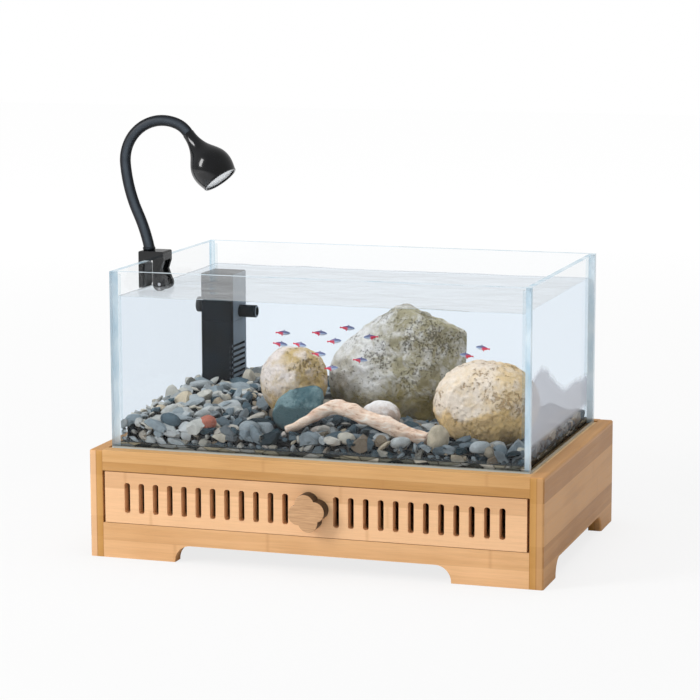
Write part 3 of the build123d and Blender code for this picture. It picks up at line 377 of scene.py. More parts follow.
def paneMaterial(name, thinAxis, mirrorShare):
    material, tree, surface = emptyMaterial(name)
    place = objectPlace(tree)
    face = seeThrough(tree, glassLook["throughFace"], glassLook["gloss"], glassLook["ior"], share=mirrorShare)
    # a thin pale line of light is painted along the foot of each pane, as a painted highlight
    overRail = minus(tree, axisOf(tree, place, "Z"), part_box("front_top_rail")[1].z)
    wobble = product(tree, noiseAt(tree, place, 40, 2), glassLook["lightLineWobble"])
    rise = sums(tree, "DIVIDE", minus(tree, overRail, wobble), glassLook["lightLineHeight"])
    line = fade(tree, rise, 0.0, 1.0, glassLook["lightLineCover"], 0)
    lit = addNode(tree, "BsdfPrincipled", {"Base Color": glassLook["lightLinePaint"], "Roughness": 0.2})
    face = mixShaders(tree, line, face, lit.outputs[0])
    # the cut edges gather light along the pane and look pale blue
    streak = noiseAt(tree, objectPlace(tree, scale=(1, 1, 0.4)), 60, 3)
    edgeColour = ramp(tree, streak, [(0.35, glassLook["edgeDeep"]), (0.62, glassLook["edge"])])
    edgeSolid = addNode(tree, "BsdfPrincipled", {"Base Color": edgeColour, "Roughness": 0.12})
    edgeOpen = addNode(tree, "BsdfTransparent", {"Color": glassLook["edge"]})
    isLeft = sums(tree, "LESS_THAN", axisOf(tree, place, "X"), tankMid)
    isRear = sums(tree, "GREATER_THAN", axisOf(tree, place, "Y"), waterHigh.y - glassLook["rearDepth"])
    lost = product(tree, product(tree, isLeft, isRear), glassLook["edgeCover"] - glassLook["rearCover"])
    cover = minus(tree, glassLook["edgeCover"], lost)
    edge = mixShaders(tree, cover, edgeOpen.outputs[0], edgeSolid.outputs[0])
    isFace = sums(tree, "GREATER_THAN", facesAlong(tree, thinAxis), flatFace)
    tree.links.new(mixShaders(tree, isFace, edge, face), surface)
    return material


dress(paneMaterial("glassFrontBack", "Y", glassLook["frontMirror"]), "tank_front_pane", "tank_back_pane")
dress(paneMaterial("glassSides", "X", glassLook["sideMirror"]), "tank_left_pane", "tank_right_pane")


def floorPaneMaterial():
    # a painted reflection: the bottom pane is painted with flat dark slabs, for the stones that lie on it,
    # seen mirrored in its edges
    slabScale = 66.0
    material, tree, shader = newMaterial("glassFloor", 0.2, specular=0.2)
    place = objectPlace(tree, scale=(1, 1, 3.2))
    slabs = cellsAt(tree, place, slabScale)
    colour = ramp(tree, cellTone(tree, slabs), [
        (0.15, paint(44, 50, 52)), (0.4, paint(116, 118, 108)), (0.6, paint(158, 150, 126)),
        (0.8, paint(104, 116, 122)), (1.0, paint(208, 202, 188)),
    ])
    # painted shade in the gaps between the slabs
    shadedGaps = cellsAt(tree, place, slabScale, "DISTANCE_TO_EDGE")["Distance"]
    colour = multiply(tree, 1.0, colour, fade(tree, shadedGaps, 0.0, 0.07, 0.2))
    fine = noiseAt(tree, objectPlace(tree), 260, 4)
    applyColour(tree, shader, multiply(tree, 0.5, colour, fade(tree, fine, 0.3, 0.65, 0.6, 1.1)))
    return material


dress(floorPaneMaterial(), "tank_bottom_pane")


def siliconeMaterial():
    # clear, with only a little of a milky body
    milkShare = 0.06
    material, tree, surface = emptyMaterial("clearSilicone")
    ripple = noiseAt(tree, objectPlace(tree), 220, 2)
    milky = ramp(tree, ripple, [(0.3, paint(196, 214, 222)), (0.7, paint(224, 234, 238))])
    body = addNode(tree, "BsdfPrincipled", {"Base Color": milky, "Roughness": 0.25})
    through = addNode(tree, "BsdfTransparent", {"Color": (0.95, 0.975, 0.985, 1)})
    tree.links.new(mixShaders(tree, milkShare, through.outputs[0], body.outputs[0]), surface)
    return material


dress(siliconeMaterial(), "silicone_seams")
print("glass dressed")

# Mesh helpers


def finishPiece(name, bm, material, body, smooth=True, smoothAngle=None):
    mesh = bpy.data.meshes.new(name)
    bm.to_mesh(mesh)
    bm.free()
    piece = bpy.data.objects.new(name, mesh)
    bpy.context.scene.collection.objects.link(piece)
    for part in (material if isinstance(material, list) else [material]):
        mesh.materials.append(part)
    if smooth:
        mesh.shade_smooth()
    if smoothAngle is not None:
        mesh.set_sharp_from_angle(angle=math.radians(smoothAngle))
    if body is not None:
        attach(piece, body)
    return piece


def treeOf(name):
    mesh = nodes[name].data
    return BVHTree.FromPolygons([v.co for v in mesh.vertices], [p.vertices for p in mesh.polygons])


def lumpsAt(place, scale, seed):
    # stony noise at a place, for lumps about as wide as scale
    return noise.fractal(place / scale + Vector((seed, seed * 1.7, -seed)), 0.9, 2.1, 4)


def bridgeRings(bm, rings, sides):
    # a skin from each ring of vertices to the next, with both ends closed
    for ringA, ringB in zip(rings, rings[1:]):
        edges = [e for ring in (ringA, ringB) for e in {e for v in ring for e in v.link_edges}
                 if all(v in ring for v in e.verts)]
        bmesh.ops.bridge_loops(bm, edges=edges)
    bmesh.ops.holes_fill(bm, edges=[e for e in bm.edges if e.is_boundary], sides=sides)
    bmesh.ops.recalc_face_normals(bm, faces=bm.faces)


def raiseGrid(low, high, z, columns, rows):
    # a block over a rectangle, with the vertices and faces of its top, which lie at z until they are moved
    bm = bmesh.new()
    bmesh.ops.create_grid(bm, x_segments=columns, y_segments=rows, size=0.5, matrix=(
        Matrix.Translation(((low.x + high.x) / 2, (low.y + high.y) / 2, z))
        @ Matrix.Diagonal((high.x - low.x, high.y - low.y, 1, 1))))
    raised = bmesh.ops.extrude_face_region(bm, geom=bm.faces[:])["geom"]
    verts = [item for item in raised if isinstance(item, bmesh.types.BMVert)]
    faces = [item for item in raised if isinstance(item, bmesh.types.BMFace)]
    return bm, verts, faces


# Stones

stoneShapes = {
    # lumps, grain and pits have a height and a width in metres, and a higher speckLimit leaves fewer specks
    "centre_rock": {
        "piece": "centreRock", "subdivisions": 6, "seed": 3.1, "lump": 0.0040, "lumpScale": 0.05,
        "grain": 0.0013, "grainScale": 0.009, "pits": 0.0013, "pitScale": 0.007,
        "cuts": [((-0.72, -0.30, 0.62), 0.0535), ((0.10, -0.97, 0.22), 0.0405), ((-0.75, -0.65, 0.0), 0.0585),
                 ((0.35, 0.1, 0.93), 0.0565), ((0.8, -0.6, 0.1), 0.0575)],
        "bulges": [((0.80, 0.0, 0.60), 0.34, 0.0085)],
        "finish": "beigeRock", "pale": paint(254, 250, 244), "warm": paint(190, 180, 148),
        "speck": paint(84, 76, 54), "moss": paint(140, 122, 62),
        "mossHeight": 0.026, "warmFrom": 0.42, "speckLimit": 0.6, "speckScale": 480,
    },
    "right_boulder": {
        "piece": "rightBoulder", "subdivisions": 6, "seed": 8.4, "lump": 0.0018, "lumpScale": 0.04,
        "grain": 0.0008, "grainScale": 0.006, "pits": 0.0014, "pitScale": 0.006,
        "cuts": [((-0.1, -0.98, 0.15), 0.0345)],
        "finish": "sandBoulder", "pale": paint(252, 232, 210), "warm": paint(238, 206, 158),
        # its moss is painted pale, partly moss colour and partly painted light that lifts its foot out of
        # shade
        "speck": paint(164, 124, 76), "moss": paint(254, 214, 146),
        "mossHeight": 0.008, "warmFrom": 0.6, "speckLimit": 0.62, "speckScale": 330,
    },
    "left_boulder": {
        "piece": "leftBoulder", "subdivisions": 6, "seed": 5.6, "lump": 0.0018, "lumpScale": 0.035,
        "grain": 0.0007, "grainScale": 0.006, "pits": 0.0012, "pitScale": 0.005,
        "cuts": [((0.72, -0.68, 0.15), 0.0265), ((-0.45, -0.85, 0.25), 0.0285)],
        "finish": "tanBoulder", "pale": paint(252, 236, 224), "warm": paint(220, 190, 134),
        "speck": paint(122, 98, 56), "moss": paint(208, 170, 100),
        "mossHeight": 0.026, "warmFrom": 0.5, "speckLimit": 0.62, "speckScale": 400,
    },
    "white_stone": {
        "piece": "whiteStone", "subdivisions": 5, "seed": 1.9, "lump": 0.0008, "lumpScale": 0.02,
        "grain": 0.0003, "grainScale": 0.005, "stretch": 1.06, "shift": (-3.5, 0, 1),
        "finish": "paleStone", "pale": paint(248, 240, 234), "warm": paint(226, 210, 198),
        "speck": paint(170, 146, 132), "moss": paint(206, 180, 160),
        "mossHeight": 0.0, "warmFrom": 0.9, "speckLimit": 0.7, "speckScale": 300,
    },
    "leaning_slate": {
        "piece": "leaningSlate", "subdivisions": 5, "seed": 6.6, "lump": 0.0016, "lumpScale": 0.02,
        "grain": 0.0005, "grainScale": 0.005, "stretch": 1.12, "shift": (2, 0, 1),
        "cuts": [((0.95, 0.0, -0.3), 0.023), ((-0.3, -0.3, 0.9), 0.0185)],
        "bulges": [((0.65, -0.1, 0.75), 0.4, 0.005)],
        "finish": "blueSlate", "pale": paint(128, 150, 150), "warm": paint(78, 104, 108),
        "speck": paint(40, 58, 62), "moss": paint(64, 82, 84),
        "mossHeight": 0.0, "warmFrom": 0.3, "speckLimit": 0.66, "speckScale": 320,
    },
}
# what a stone has where its own list doesn't say: cuts are planes, bulges swell and shift is in millimetres
plainStone = {"pits": 0.0, "pitScale": 0.01, "cuts": [], "bulges": [], "stretch": 1.0, "shift": (0, 0, 0)}
stoneLook = {
    "cloudScale": 30, "blotchScale": 75, "fineScale": 420, "crowdScale": 44,
    "speckCover": 0.6, "mossCover": 0.85, "mossFade": 0.03,
    # share taken off over a cut, how wide and deep pits are, and how far in the whole skin lies
    "cutShare": 0.9, "pitReach": 0.4, "pitDepth": 4, "drawIn": 0.0006,
}


def stoneMaterial(node, shape):
    # pale on the left, warmer to the right of warmFrom, moss below mossHeight above the floor
    low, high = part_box(node)
    pale, warm, speck, moss = (shape[tone] for tone in ("pale", "warm", "speck", "moss"))
    material, tree, shader = newMaterial(shape["finish"], 0.9, specular=0.12)
    place = objectPlace(tree)
    clouds = noiseAt(tree, place, stoneLook["cloudScale"], 5, 0.6, 0.5)
    blotches = noiseAt(tree, place, stoneLook["blotchScale"], 5, 0.66, 0.4)
    fine = noiseAt(tree, place, stoneLook["fineScale"], 5, 0.75)
    across = sums(tree, "DIVIDE", minus(tree, axisOf(tree, place, "X"), low.x), high.x - low.x)
    warmth = plus(tree, minus(tree, across, shape["warmFrom"]), product(tree, clouds, 0.8))
    warmMask = fade(tree, warmth, 0.36, 0.52)
    paleTone = mixColour(tree, fade(tree, blotches, 0.36, 0.56, 0.55, 0), pale, warm)
    warmTone = mixColour(tree, fade(tree, blotches, 0.46, 0.64, 0, 0.8), warm, pale)
    colour = mixColour(tree, warmMask, paleTone, warmTone)
    colour = multiply(tree, 0.3, colour, fade(tree, fine, 0.3, 0.58, 0.6, 1.05))
    # small dark specks that crowd together in places, with a few more on the warm side
    specks = noiseAt(tree, place, shape["speckScale"], 2, 0.6)
    crowd = noiseAt(tree, objectPlace(tree, shift=(0.4, 0.1, 0.7)), stoneLook["crowdScale"], 3)
    pitted = plus(tree, specks, product(tree, minus(tree, crowd, 0.5), 0.75))
    pitted = plus(tree, pitted, product(tree, warmMask, 0.04))
    pits = fade(tree, pitted, shape["speckLimit"], shape["speckLimit"] + 0.07)
    colour = mixColour(tree, product(tree, pits, stoneLook["speckCover"]), colour, speck)
    ground = plus(tree, minus(tree, axisOf(tree, place, "Z"), tankFloor), product(tree, clouds, -0.06))
    mossLow = shape["mossHeight"] - stoneLook["mossFade"]
    mossMask = fade(tree, ground, mossLow, shape["mossHeight"], stoneLook["mossCover"], 0)
    mossTone = mixColour(tree, fade(tree, blotches, 0.45, 0.6, 0, 0.5), moss, speck)
    applyColour(tree, shader, mixColour(tree, mossMask, colour, mossTone))
    first = bump(tree, shader, fine, 0.0009, 0.9)
    second = bump(tree, shader, blotches, 0.0022, 0.9, first)
    bump(tree, shader, pits, -0.0008, 1.0, second)
    return material


def sculptStone(node):
    # a ball drawn onto the CAD stone from its middle, then bulged, cut and roughened
    shape = {**plainStone, **stoneShapes[node]}
    low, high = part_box(node)
    centre = (low + high) / 2
    skin = treeOf(node)
    bm = bmesh.new()
    bmesh.ops.create_icosphere(bm, subdivisions=shape["subdivisions"], radius=1.0)
    shift = Vector(shape["shift"]) / 1000
    for vert in bm.verts:
        outward = vert.co.normalized()
        hit = skin.ray_cast(centre, outward)[0] or centre + outward * 0.01
        local = (hit - centre) * shape["stretch"]
        for direction, width, amount in shape["bulges"]:
            away = outward.angle(Vector(direction)) / width
            local += outward * amount * math.exp(-away * away)
        for direction, limit in shape["cuts"]:
            face = Vector(direction).normalized()
            over = local.dot(face) - limit
            if over > 0:
                local -= face * over * stoneLook["cutShare"]
        spot = centre + local
        lump = lumpsAt(spot, shape["lumpScale"], shape["seed"]) * shape["lump"]
        grain = lumpsAt(spot, shape["grainScale"], shape["seed"] + 4) * shape["grain"]
        cell = noise.voronoi(spot / shape["pitScale"], distance_metric="DISTANCE")[0][0]
        pit = max(0.0, stoneLook["pitReach"] - cell) * -shape["pits"] * stoneLook["pitDepth"]
        vert.co = spot + shift + outward * (lump + grain + pit - stoneLook["drawIn"])
    piece = finishPiece(shape["piece"], bm, stoneMaterial(node, shape), "tank")
    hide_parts(node)


for stoneNode in stoneShapes:
    sculptStone(stoneNode)
print("stones sculpted")

# Driftwood

branch = {
    # the branch's line from the tank's middle, front face and floor, with its half width, in millimetres
    "route": [((-39, 29, 15.5), 3.0), ((-30, 33, 19), 4.6), ((-16, 39, 27), 5.4), ((-4, 44, 34), 6.6),
              ((5, 47, 36), 7.4), ((16, 46, 35), 7.6), ((30, 44, 31), 7.4), ((47, 41, 26.5), 7.0),
              ((62, 38, 22), 7.2), ((80, 36, 17), 6.4), ((97, 34, 13.5), 6.4)],
    "ringSides": 32, "ringsPerSpan": 8, "flatness": 0.8, "endWidth": 0.55,
    # ridges run along the branch and knots swell it, as shares of its width
    "ridge": 0.18, "ridgePitch": (30, 260), "knot": 0.2, "knotScale": 0.016, "seed": 2.4,
}


def driftwoodMaterial():
    material, tree, shader = newMaterial("driftwood", 0.75, specular=0.15)
    fibres = noiseAt(tree, objectPlace(tree, scale=(1, 3.2, 3.2), turn=(0, 0.28, 0)), 90, 6, 0.6, 0.8)
    stains = noiseAt(tree, objectPlace(tree), 45, 4)
    colour = ramp(tree, fibres, [
        (0.3, paint(166, 120, 96)), (0.44, paint(240, 206, 178)), (0.7, paint(254, 240, 224)),
    ])
    stained = fade(tree, stains, 0.48, 0.68, 0, 0.6)
    applyColour(tree, shader, mixColour(tree, stained, colour, paint(206, 152, 122)))
    bump(tree, shader, fibres, 0.0008)
    return material


def growBranch():
    sides, spans = branch["ringSides"], branch["ringsPerSpan"]
    alongPitch, acrossPitch = branch["ridgePitch"]
    points = [inTank(*spot) for spot, _ in branch["route"]]
    widths = [width / 1000 for _, width in branch["route"]]
    bm = bmesh.new()
    rings = []
    count = (len(points) - 1) * spans
    for step in range(count + 1):
        # a smooth curve through the points of the route
        i = min(step // spans, len(points) - 2)
        t = step / spans - i
        before, after = points[max(i - 1, 0)], points[min(i + 2, len(points) - 1)]
        tangentA = (points[i + 1] - before) / 2
        tangentB = (after - points[i]) / 2
        t2, t3 = t * t, t * t * t
        spot = (points[i] * (2 * t3 - 3 * t2 + 1) + tangentA * (t3 - 2 * t2 + t)
                + points[i + 1] * (3 * t2 - 2 * t3) + tangentB * (t3 - t2))
        heading = points[i + 1] - points[i]
        if i < len(points) - 2:
            heading = heading.lerp(after - points[i + 1], t)
        width = widths[i] * (1 - t) + widths[i + 1] * t
        if step in (0, count):
            width *= branch["endWidth"]
        turn = heading.to_track_quat("Z", "Y").to_matrix().to_4x4()
        place = Matrix.Translation(spot) @ turn @ Matrix.Diagonal((width * branch["flatness"], width, 1, 1))
        ring = bmesh.ops.create_circle(bm, segments=sides, radius=1.0, matrix=place)["verts"]
        for vert in ring:
            x, y, z = vert.co
            ridges = noise.noise(Vector((x * alongPitch, y * acrossPitch, z * acrossPitch)))
            knots = lumpsAt(vert.co, branch["knotScale"], branch["seed"])
            swell = 1 + branch["ridge"] * ridges + branch["knot"] * knots
            vert.co = spot + (vert.co - spot) * swell
        rings.append(ring)
    bridgeRings(bm, rings, sides)
    driftwood = finishPiece("driftwoodBranch", bm, driftwoodMaterial(), "tank", smoothAngle=60)
    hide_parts("driftwood_branch")


growBranch()

# Gravel: a core painted dark as shade, under loose chips

gravel = {
    "glassGap": 0.0004, "filterGap": 0.0008, "seed": 11,
    # the core under the chips, painted dark as the shade between them
    "inset": 0.005, "sink": 0.004, "corePitch": 0.004, "coreFoot": 0.0003, "coreLow": 0.001,
    "coreWobble": 0.0014, "coreWobbleScale": 0.012,
    # the chips: how far apart, half as long as this, with so many flat faces each
    "chipPitch": 0.0108, "chipHalf": (0.0052, 0.0150), "facets": 6, "topInset": 0.004,
    # thickness and width of a chip as shares of its length, its tilt, where its faces lie, its unevenness
    "chipFlat": (0.3, 0.56), "chipWide": (0.5, 0.88), "chipTilt": 0.5,
    "facetDepth": (0.5, 0.82), "jitter": 0.2,
    # how far a chip stays clear of a stone, as shares of its own half length
    "underStone": 1.6, "besideStone": 0.35,
    # the chips against the glass: how far in, how much closer together and how much smaller than the rest
    "wallInset": 0.0042, "wallCrowd": 1.25, "wallShare": 0.7, "wallEnds": 0.003,
    # chips left of here, measured from the tank's middle, are a piece of their own
    "batchEdge": -0.04,
}
stoneNodes = list(stoneShapes) + ["driftwood_branch"]
gravelTree = treeOf("gravel_bed")
stoneTrees = [treeOf(name) for name in stoneNodes]
filterLow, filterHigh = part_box("filter_sheath")


def bedTop(x, y):
    # the height of the gravel under a point, or None over a pocket
    hit = gravelTree.ray_cast(Vector((x, y, waterHigh.z)), Vector((0, 0, -1)))[0]
    return hit.z if hit is not None else None


def nearFilter(x, y, margin):
    besideX = filterLow.x - margin < x < filterHigh.x + margin
    return besideX and filterLow.y - margin < y < filterHigh.y + margin


def gravelMaterial():
    material, tree, shader = newMaterial("darkGravel", 0.8, specular=0.1)
    cells = cellsAt(tree, objectPlace(tree), 170.0)
    # painted shade: the core's tones are dark, as the shade deep between the loose chips
    tone = ramp(tree, cellTone(tree, cells), [
        (0.1, paint(18, 24, 28)), (0.55, paint(40, 48, 54)),
        (0.8, paint(76, 70, 62)), (1.0, paint(96, 88, 78)),
    ])
    # painted shade: darker towards the edge of each cell
    shadedGaps = fade(tree, cells["Distance"], 0.25, 0.62, 1, 0.25)
    applyColour(tree, shader, multiply(tree, 1.0, tone, shadedGaps))
    bump(tree, shader, cells["Distance"], -0.0016)
    return material


def buildGravelCore():
    inset, pitch = gravel["inset"], gravel["corePitch"]
    low = waterLow + Vector((inset, inset, 0))
    high = Vector((waterHigh.x - inset, waterHigh.y - inset, 0))
    columns = int((high.x - low.x) / pitch)
    rows = int((high.y - low.y) / pitch)
    bm, topVerts, _ = raiseGrid(low, high, tankFloor + gravel["coreFoot"], columns, rows)
    lowest = tankFloor + gravel["coreLow"]
    for vert in topVerts:
        top = bedTop(vert.co.x, vert.co.y) or tankFloor
        wobble = lumpsAt(vert.co, gravel["coreWobbleScale"], 1.0) * gravel["coreWobble"]
        vert.co.z = max(lowest, top - gravel["sink"] + wobble)
        if nearFilter(vert.co.x, vert.co.y, 0.002):
            vert.co.z = lowest
    bmesh.ops.recalc_face_normals(bm, faces=bm.faces)
    core = finishPiece("gravelCore", bm, gravelMaterial(), "tank")
    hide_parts("gravel_bed")


def chipMaterial():
    # each chip carries its own tone and its painted light level
    material, tree, shader = newMaterial("slateChips", 0.75, specular=0.2)
    tone = addNode(tree, "Attribute", attribute_name="chipTone").outputs["Fac"]
    level = addNode(tree, "Attribute", attribute_name="chipLight").outputs["Fac"]
    colour = ramp(tree, tone, [
        (0.0, paint(46, 68, 76)), (0.14, paint(92, 108, 116)), (0.3, paint(144, 154, 158)),
        (0.46, paint(184, 186, 184)), (0.6, paint(196, 190, 176)), (0.72, paint(206, 190, 164)),
        (0.84, paint(138, 120, 98)), (0.93, paint(224, 218, 206)), (1.0, paint(190, 116, 96)),
    ])
    place = objectPlace(tree)
    veins = noiseAt(tree, place, 130, 5, 0.65, 0.5)
    fine = noiseAt(tree, place, 700, 3)
    colour = multiply(tree, 0.6, colour, fade(tree, veins, 0.3, 0.62, 0.55, 1.15))
    colour = multiply(tree, 0.4, colour, fade(tree, fine, 0.3, 0.65, 0.75, 1.08))
    colour = multiply(tree, 1.0, colour, fade(tree, level, 0.0, 1.0, 0.05))
    applyColour(tree, shader, colour, fade(tree, veins, 0.3, 0.7, 0.6, 0.9))
    bump(tree, shader, veins, 0.0007)
    return material


slateChips = chipMaterial()


def outOfFilter(spot):
    # moves a spot out through the filter's nearest side
    gap = gravel["filterGap"]
    ways = []
    for axis, low, high in (("x", filterLow.x, filterHigh.x), ("y", filterLow.y, filterHigh.y)):
        at = getattr(spot, axis)
        ways += [(abs(at - low), axis, low - gap), (abs(at - high), axis, high + gap)]
    _, axis, value = min(ways)
    setattr(spot, axis, value)


def addChip(bm, layers, centre, half, seed, tone, level):
    # one split chip: a ball with flat faces cut into it, flattened and turned, kept inside the glass
    made = bmesh.ops.create_icosphere(bm, subdivisions=2, radius=1.0)
    flat = random.uniform(*gravel["chipFlat"])
    wide = random.uniform(*gravel["chipWide"])
    tilt, gap = gravel["chipTilt"], gravel["glassGap"]
    turn = (Matrix.Rotation(random.uniform(0, math.tau), 3, "Z")
            @ Matrix.Rotation(random.gauss(0, tilt), 3, "X") @ Matrix.Rotation(random.gauss(0, tilt), 3, "Y"))
    facets = []
    for _ in range(gravel["facets"]):
        face = Vector((random.gauss(0, 1), random.gauss(0, 1), random.gauss(0, 0.7))).normalized()
        facets.append((face, random.uniform(*gravel["facetDepth"])))
    toneLayer, lightLayer = layers
    for vert in made["verts"]:
        ball = vert.co.copy()
        for face, limit in facets:
            over = ball.dot(face) - limit
            if over > 0:
                ball -= face * over
        jitter = 1 + gravel["jitter"] * noise.noise(vert.co * 1.15 + Vector((seed, seed * 0.37, -seed)))
        spot = centre + turn @ Vector((ball.x * half, ball.y * half * wide, ball.z * half * flat)) * jitter
        spot.x = min(max(spot.x, waterLow.x + gap), waterHigh.x - gap)
        spot.y = min(max(spot.y, waterLow.y + gap), waterHigh.y - gap)
        spot.z = max(spot.z, tankFloor + gap)
        if nearFilter(spot.x, spot.y, 0.0006):
            outOfFilter(spot)
        vert.co = spot
        vert[toneLayer] = tone
        vert[lightLayer] = level


def blockedByStone(spot, room):
    # true under a stone, or with the chip's middle too near one
    up = Vector((0, 0, 1))
    for tree in stoneTrees:
        hit, _, _, rise = tree.ray_cast(spot - up * 0.001, up)
        if hit is not None and rise < room:
            return True
        near, _, _, away = tree.find_nearest(spot, room)
        if near is not None and away < room * gravel["besideStone"]:
            return True
    return False


chipMix = {
    # share of dark chips at the left, how much it grows to the right, and how dark they are
    "darkShare": 0.2, "darkGrowth": 0.4, "darkTone": 0.4,
    # only this share of the chips may be of the reddish tones, which lie past redFrom
    "redShare": 0.04, "redFrom": 0.94,
    # the pale band at the left, a painted reflection that washes the chips there pale: how far it reaches,
    # how many of its chips are pale, and their tones
    "paleReach": 0.2, "paleShare": 0.85, "paleTones": (0.28, 0.66),
    # painted light, brightest at the left with the painted reflection there: how bright it starts, how fast
    # and how far it falls, its level from there on, and a chip's least share of it
    "leftLight": 1.7, "lightFall": 3.3, "lightReach": 0.25, "light": 0.87, "leastLight": 0.66,
    # painted shade: chips near the floor are darker, and so are a few anywhere
    "lowHeight": 0.008, "lowLight": 0.85, "shadeShare": 0.14, "shadeLight": 0.5,
}


def chipLook(x, z):
    # the tone and painted light of each chip: paler chips and more light on the left as a painted reflection,
    # painted shade low down and on a few at random, and more dark chips to the right
    across = (x - waterLow.x) / (waterHigh.x - waterLow.x)
    tone = random.random()
    if random.random() < chipMix["darkShare"] + chipMix["darkGrowth"] * across:
        tone *= chipMix["darkTone"]
    if random.random() > chipMix["redShare"]:
        tone = min(tone, chipMix["redFrom"])
    if across < chipMix["paleReach"] and random.random() < chipMix["paleShare"]:
        tone = random.uniform(*chipMix["paleTones"])
    wash = chipMix["light"]
    if across < chipMix["lightReach"]:
        wash = chipMix["leftLight"] - chipMix["lightFall"] * across
    level = random.uniform(chipMix["leastLight"], 1.0) * wash
    if z < tankFloor + chipMix["lowHeight"]:
        level *= chipMix["lowLight"]
    if random.random() < chipMix["shadeShare"]:
        level *= chipMix["shadeLight"]
    return tone, min(level, 1.0)


def chipSpots():
    # places on top of the heap, then on the faces against the glass, down to the floor
    pitch, topInset, wallEnds = gravel["chipPitch"], gravel["topInset"], gravel["wallEnds"]
    columns = int((waterHigh.x - waterLow.x) / pitch)
    rows = int((waterHigh.y - waterLow.y) / pitch)
    spots = []
    for i in range(columns + 1):
        for j in range(rows + 1):
            x = min(waterLow.x + (i + random.uniform(0.1, 0.9)) * pitch, waterHigh.x - topInset)
            y = min(waterLow.y + (j + random.uniform(0.1, 0.9)) * pitch, waterHigh.y - topInset)
            top = bedTop(x, y)
            if top is None or top < tankFloor + 0.002 or nearFilter(x, y, 0.003):
                continue
            spots.append((Vector((x, y, top - random.uniform(-0.0008, 0.003))), 1.0))
    for axis, face in (("y", waterLow.y), ("y", waterHigh.y), ("x", waterLow.x), ("x", waterHigh.x)):
        count = columns if axis == "y" else rows
        inward = gravel["wallInset"] if face in (waterLow.y, waterLow.x) else -gravel["wallInset"]
        for i in range(int(count * gravel["wallCrowd"])):
            along = (i + random.uniform(0.1, 0.9)) * pitch / gravel["wallCrowd"]
            x = min(waterLow.x + along, waterHigh.x - wallEnds) if axis == "y" else face + inward
            y = face + inward if axis == "y" else min(waterLow.y + along, waterHigh.y - wallEnds)
            top = bedTop(x, y)
            z = tankFloor + 0.003
            while top is not None and z < top - 0.002:
                spots.append((Vector((x, y, z)), gravel["wallShare"]))
                z += pitch * random.uniform(0.45, 0.8)
    return spots


def chipLayers(bm):
    return bm.verts.layers.float.new("chipTone"), bm.verts.layers.float.new("chipLight")


def scatterChips():
    random.seed(gravel["seed"])
    small, large = gravel["chipHalf"]
    batches = {"gravelChipsLeft": bmesh.new(), "gravelChipsRight": bmesh.new()}
    layers = {name: chipLayers(bm) for name, bm in batches.items()}
    made = 0
    for spot, share in chipSpots():
        half = (small + (large - small) * random.random() ** 1.6) * share
        if blockedByStone(spot, half * gravel["underStone"]):
            continue
        name = "gravelChipsLeft" if spot.x < tankMid + gravel["batchEdge"] else "gravelChipsRight"
        tone, level = chipLook(spot.x, spot.z)
        addChip(batches[name], layers[name], spot, half, made * 0.731, tone, level)
        made += 1
    for name, bm in batches.items():
        piece = finishPiece(name, bm, slateChips, "tank", smoothAngle=28)
    print("gravel chips:", made)


buildGravelCore()
scatterChips()

# The larger pebbles along the front

pebbles = {
    # tone of each pebble from left to right, on the chips' scale
    "tones": [0.12, 1.0, 0.35, 0.2, 0.62, 0.48, 0.72, 0.4],
    # the painted light level that all pebbles share, and their bulge
    "light": 0.85, "bulge": 0.0011, "bulgeScale": 0.012,
}


def islandCentres(node):
    # the middle of each loose part of a CAD node, from left to right
    bm = bmesh.new()
    bm.from_mesh(nodes[node].data)
    bmesh.ops.remove_doubles(bm, verts=bm.verts, dist=0.00001)
    centres, seen = [], set()
    for start in bm.verts:
        if start in seen:
            continue
        island, queue = [], [start]
        seen.add(start)
        while queue:
            vert = queue.pop()
            island.append(vert)
            for edge in vert.link_edges:
                other = edge.other_vert(vert)
                if other not in seen:
                    seen.add(other)
                    queue.append(other)
        centres.append(sum((vert.co for vert in island), Vector()) / len(island))
    bm.free()
    return sorted(centres, key=lambda centre: centre.x)


def sculptPebbles():
    # one ball drawn onto each pebble of the CAD node
    skin = treeOf("front_pebbles")
    bm = bmesh.new()
    toneLayer, lightLayer = chipLayers(bm)
    for index, centre in enumerate(islandCentres("front_pebbles")):
        made = bmesh.ops.create_icosphere(bm, subdivisions=4, radius=1.0)
        for vert in made["verts"]:
            outward = vert.co.normalized()
            hit = skin.ray_cast(centre, outward)[0] or centre + outward * 0.005
            bulge = lumpsAt(hit, pebbles["bulgeScale"], index * 2.3) * pebbles["bulge"]
            vert.co = hit + outward * bulge
            vert.co.y = max(vert.co.y, waterLow.y + gravel["glassGap"])
            vert[toneLayer] = pebbles["tones"][index % len(pebbles["tones"])]
            vert[lightLayer] = pebbles["light"]
    piece = finishPiece("frontPebbles", bm, slateChips, "tank")
    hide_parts("front_pebbles")


sculptPebbles()
print("gravel and pebbles done")

# Water and fish

water = {
    "level": 0.1365, "inset": 0.00015, "columns": 140, "rows": 90,
    "ripple": 0.0008, "meniscus": 0.0011, "meniscusReach": 0.0022,
    # two sizes of wave: steps to a metre across and deep, where they start, and their share of the ripple
    "waves": [(22, 34, 0.4, 1.0), (60, 75, 4.0, 0.5)],
    "side": (0.925, 0.958, 0.992, 1), "line": paint(176, 202, 214), "lineHeight": 0.0006, "lineCover": 0.55,
    "top": (0.94, 0.965, 0.99, 1), "topMirror": 0.8, "veil": paint(250, 253, 255), "topVeil": 0.12,
    # the pale shapes in the right face: how high they stand, how much they heap and how they sink backwards
    "ghost": paint(204, 206, 216), "ghostCover": 0.82, "ghostHeight": 0.026, "ghostSoft": 0.002,
    "ghostHeap": 0.055, "ghostJag": 0.006, "ghostSink": 0.14,
    # the angles they show at, and the height of the gravel that hides most of them
    "ghostAngle": (0.5, 0.64), "ghostFoot": (0.010, 0.016), "footCover": 0.12,
}
waterTop = tankFloor + water["level"]


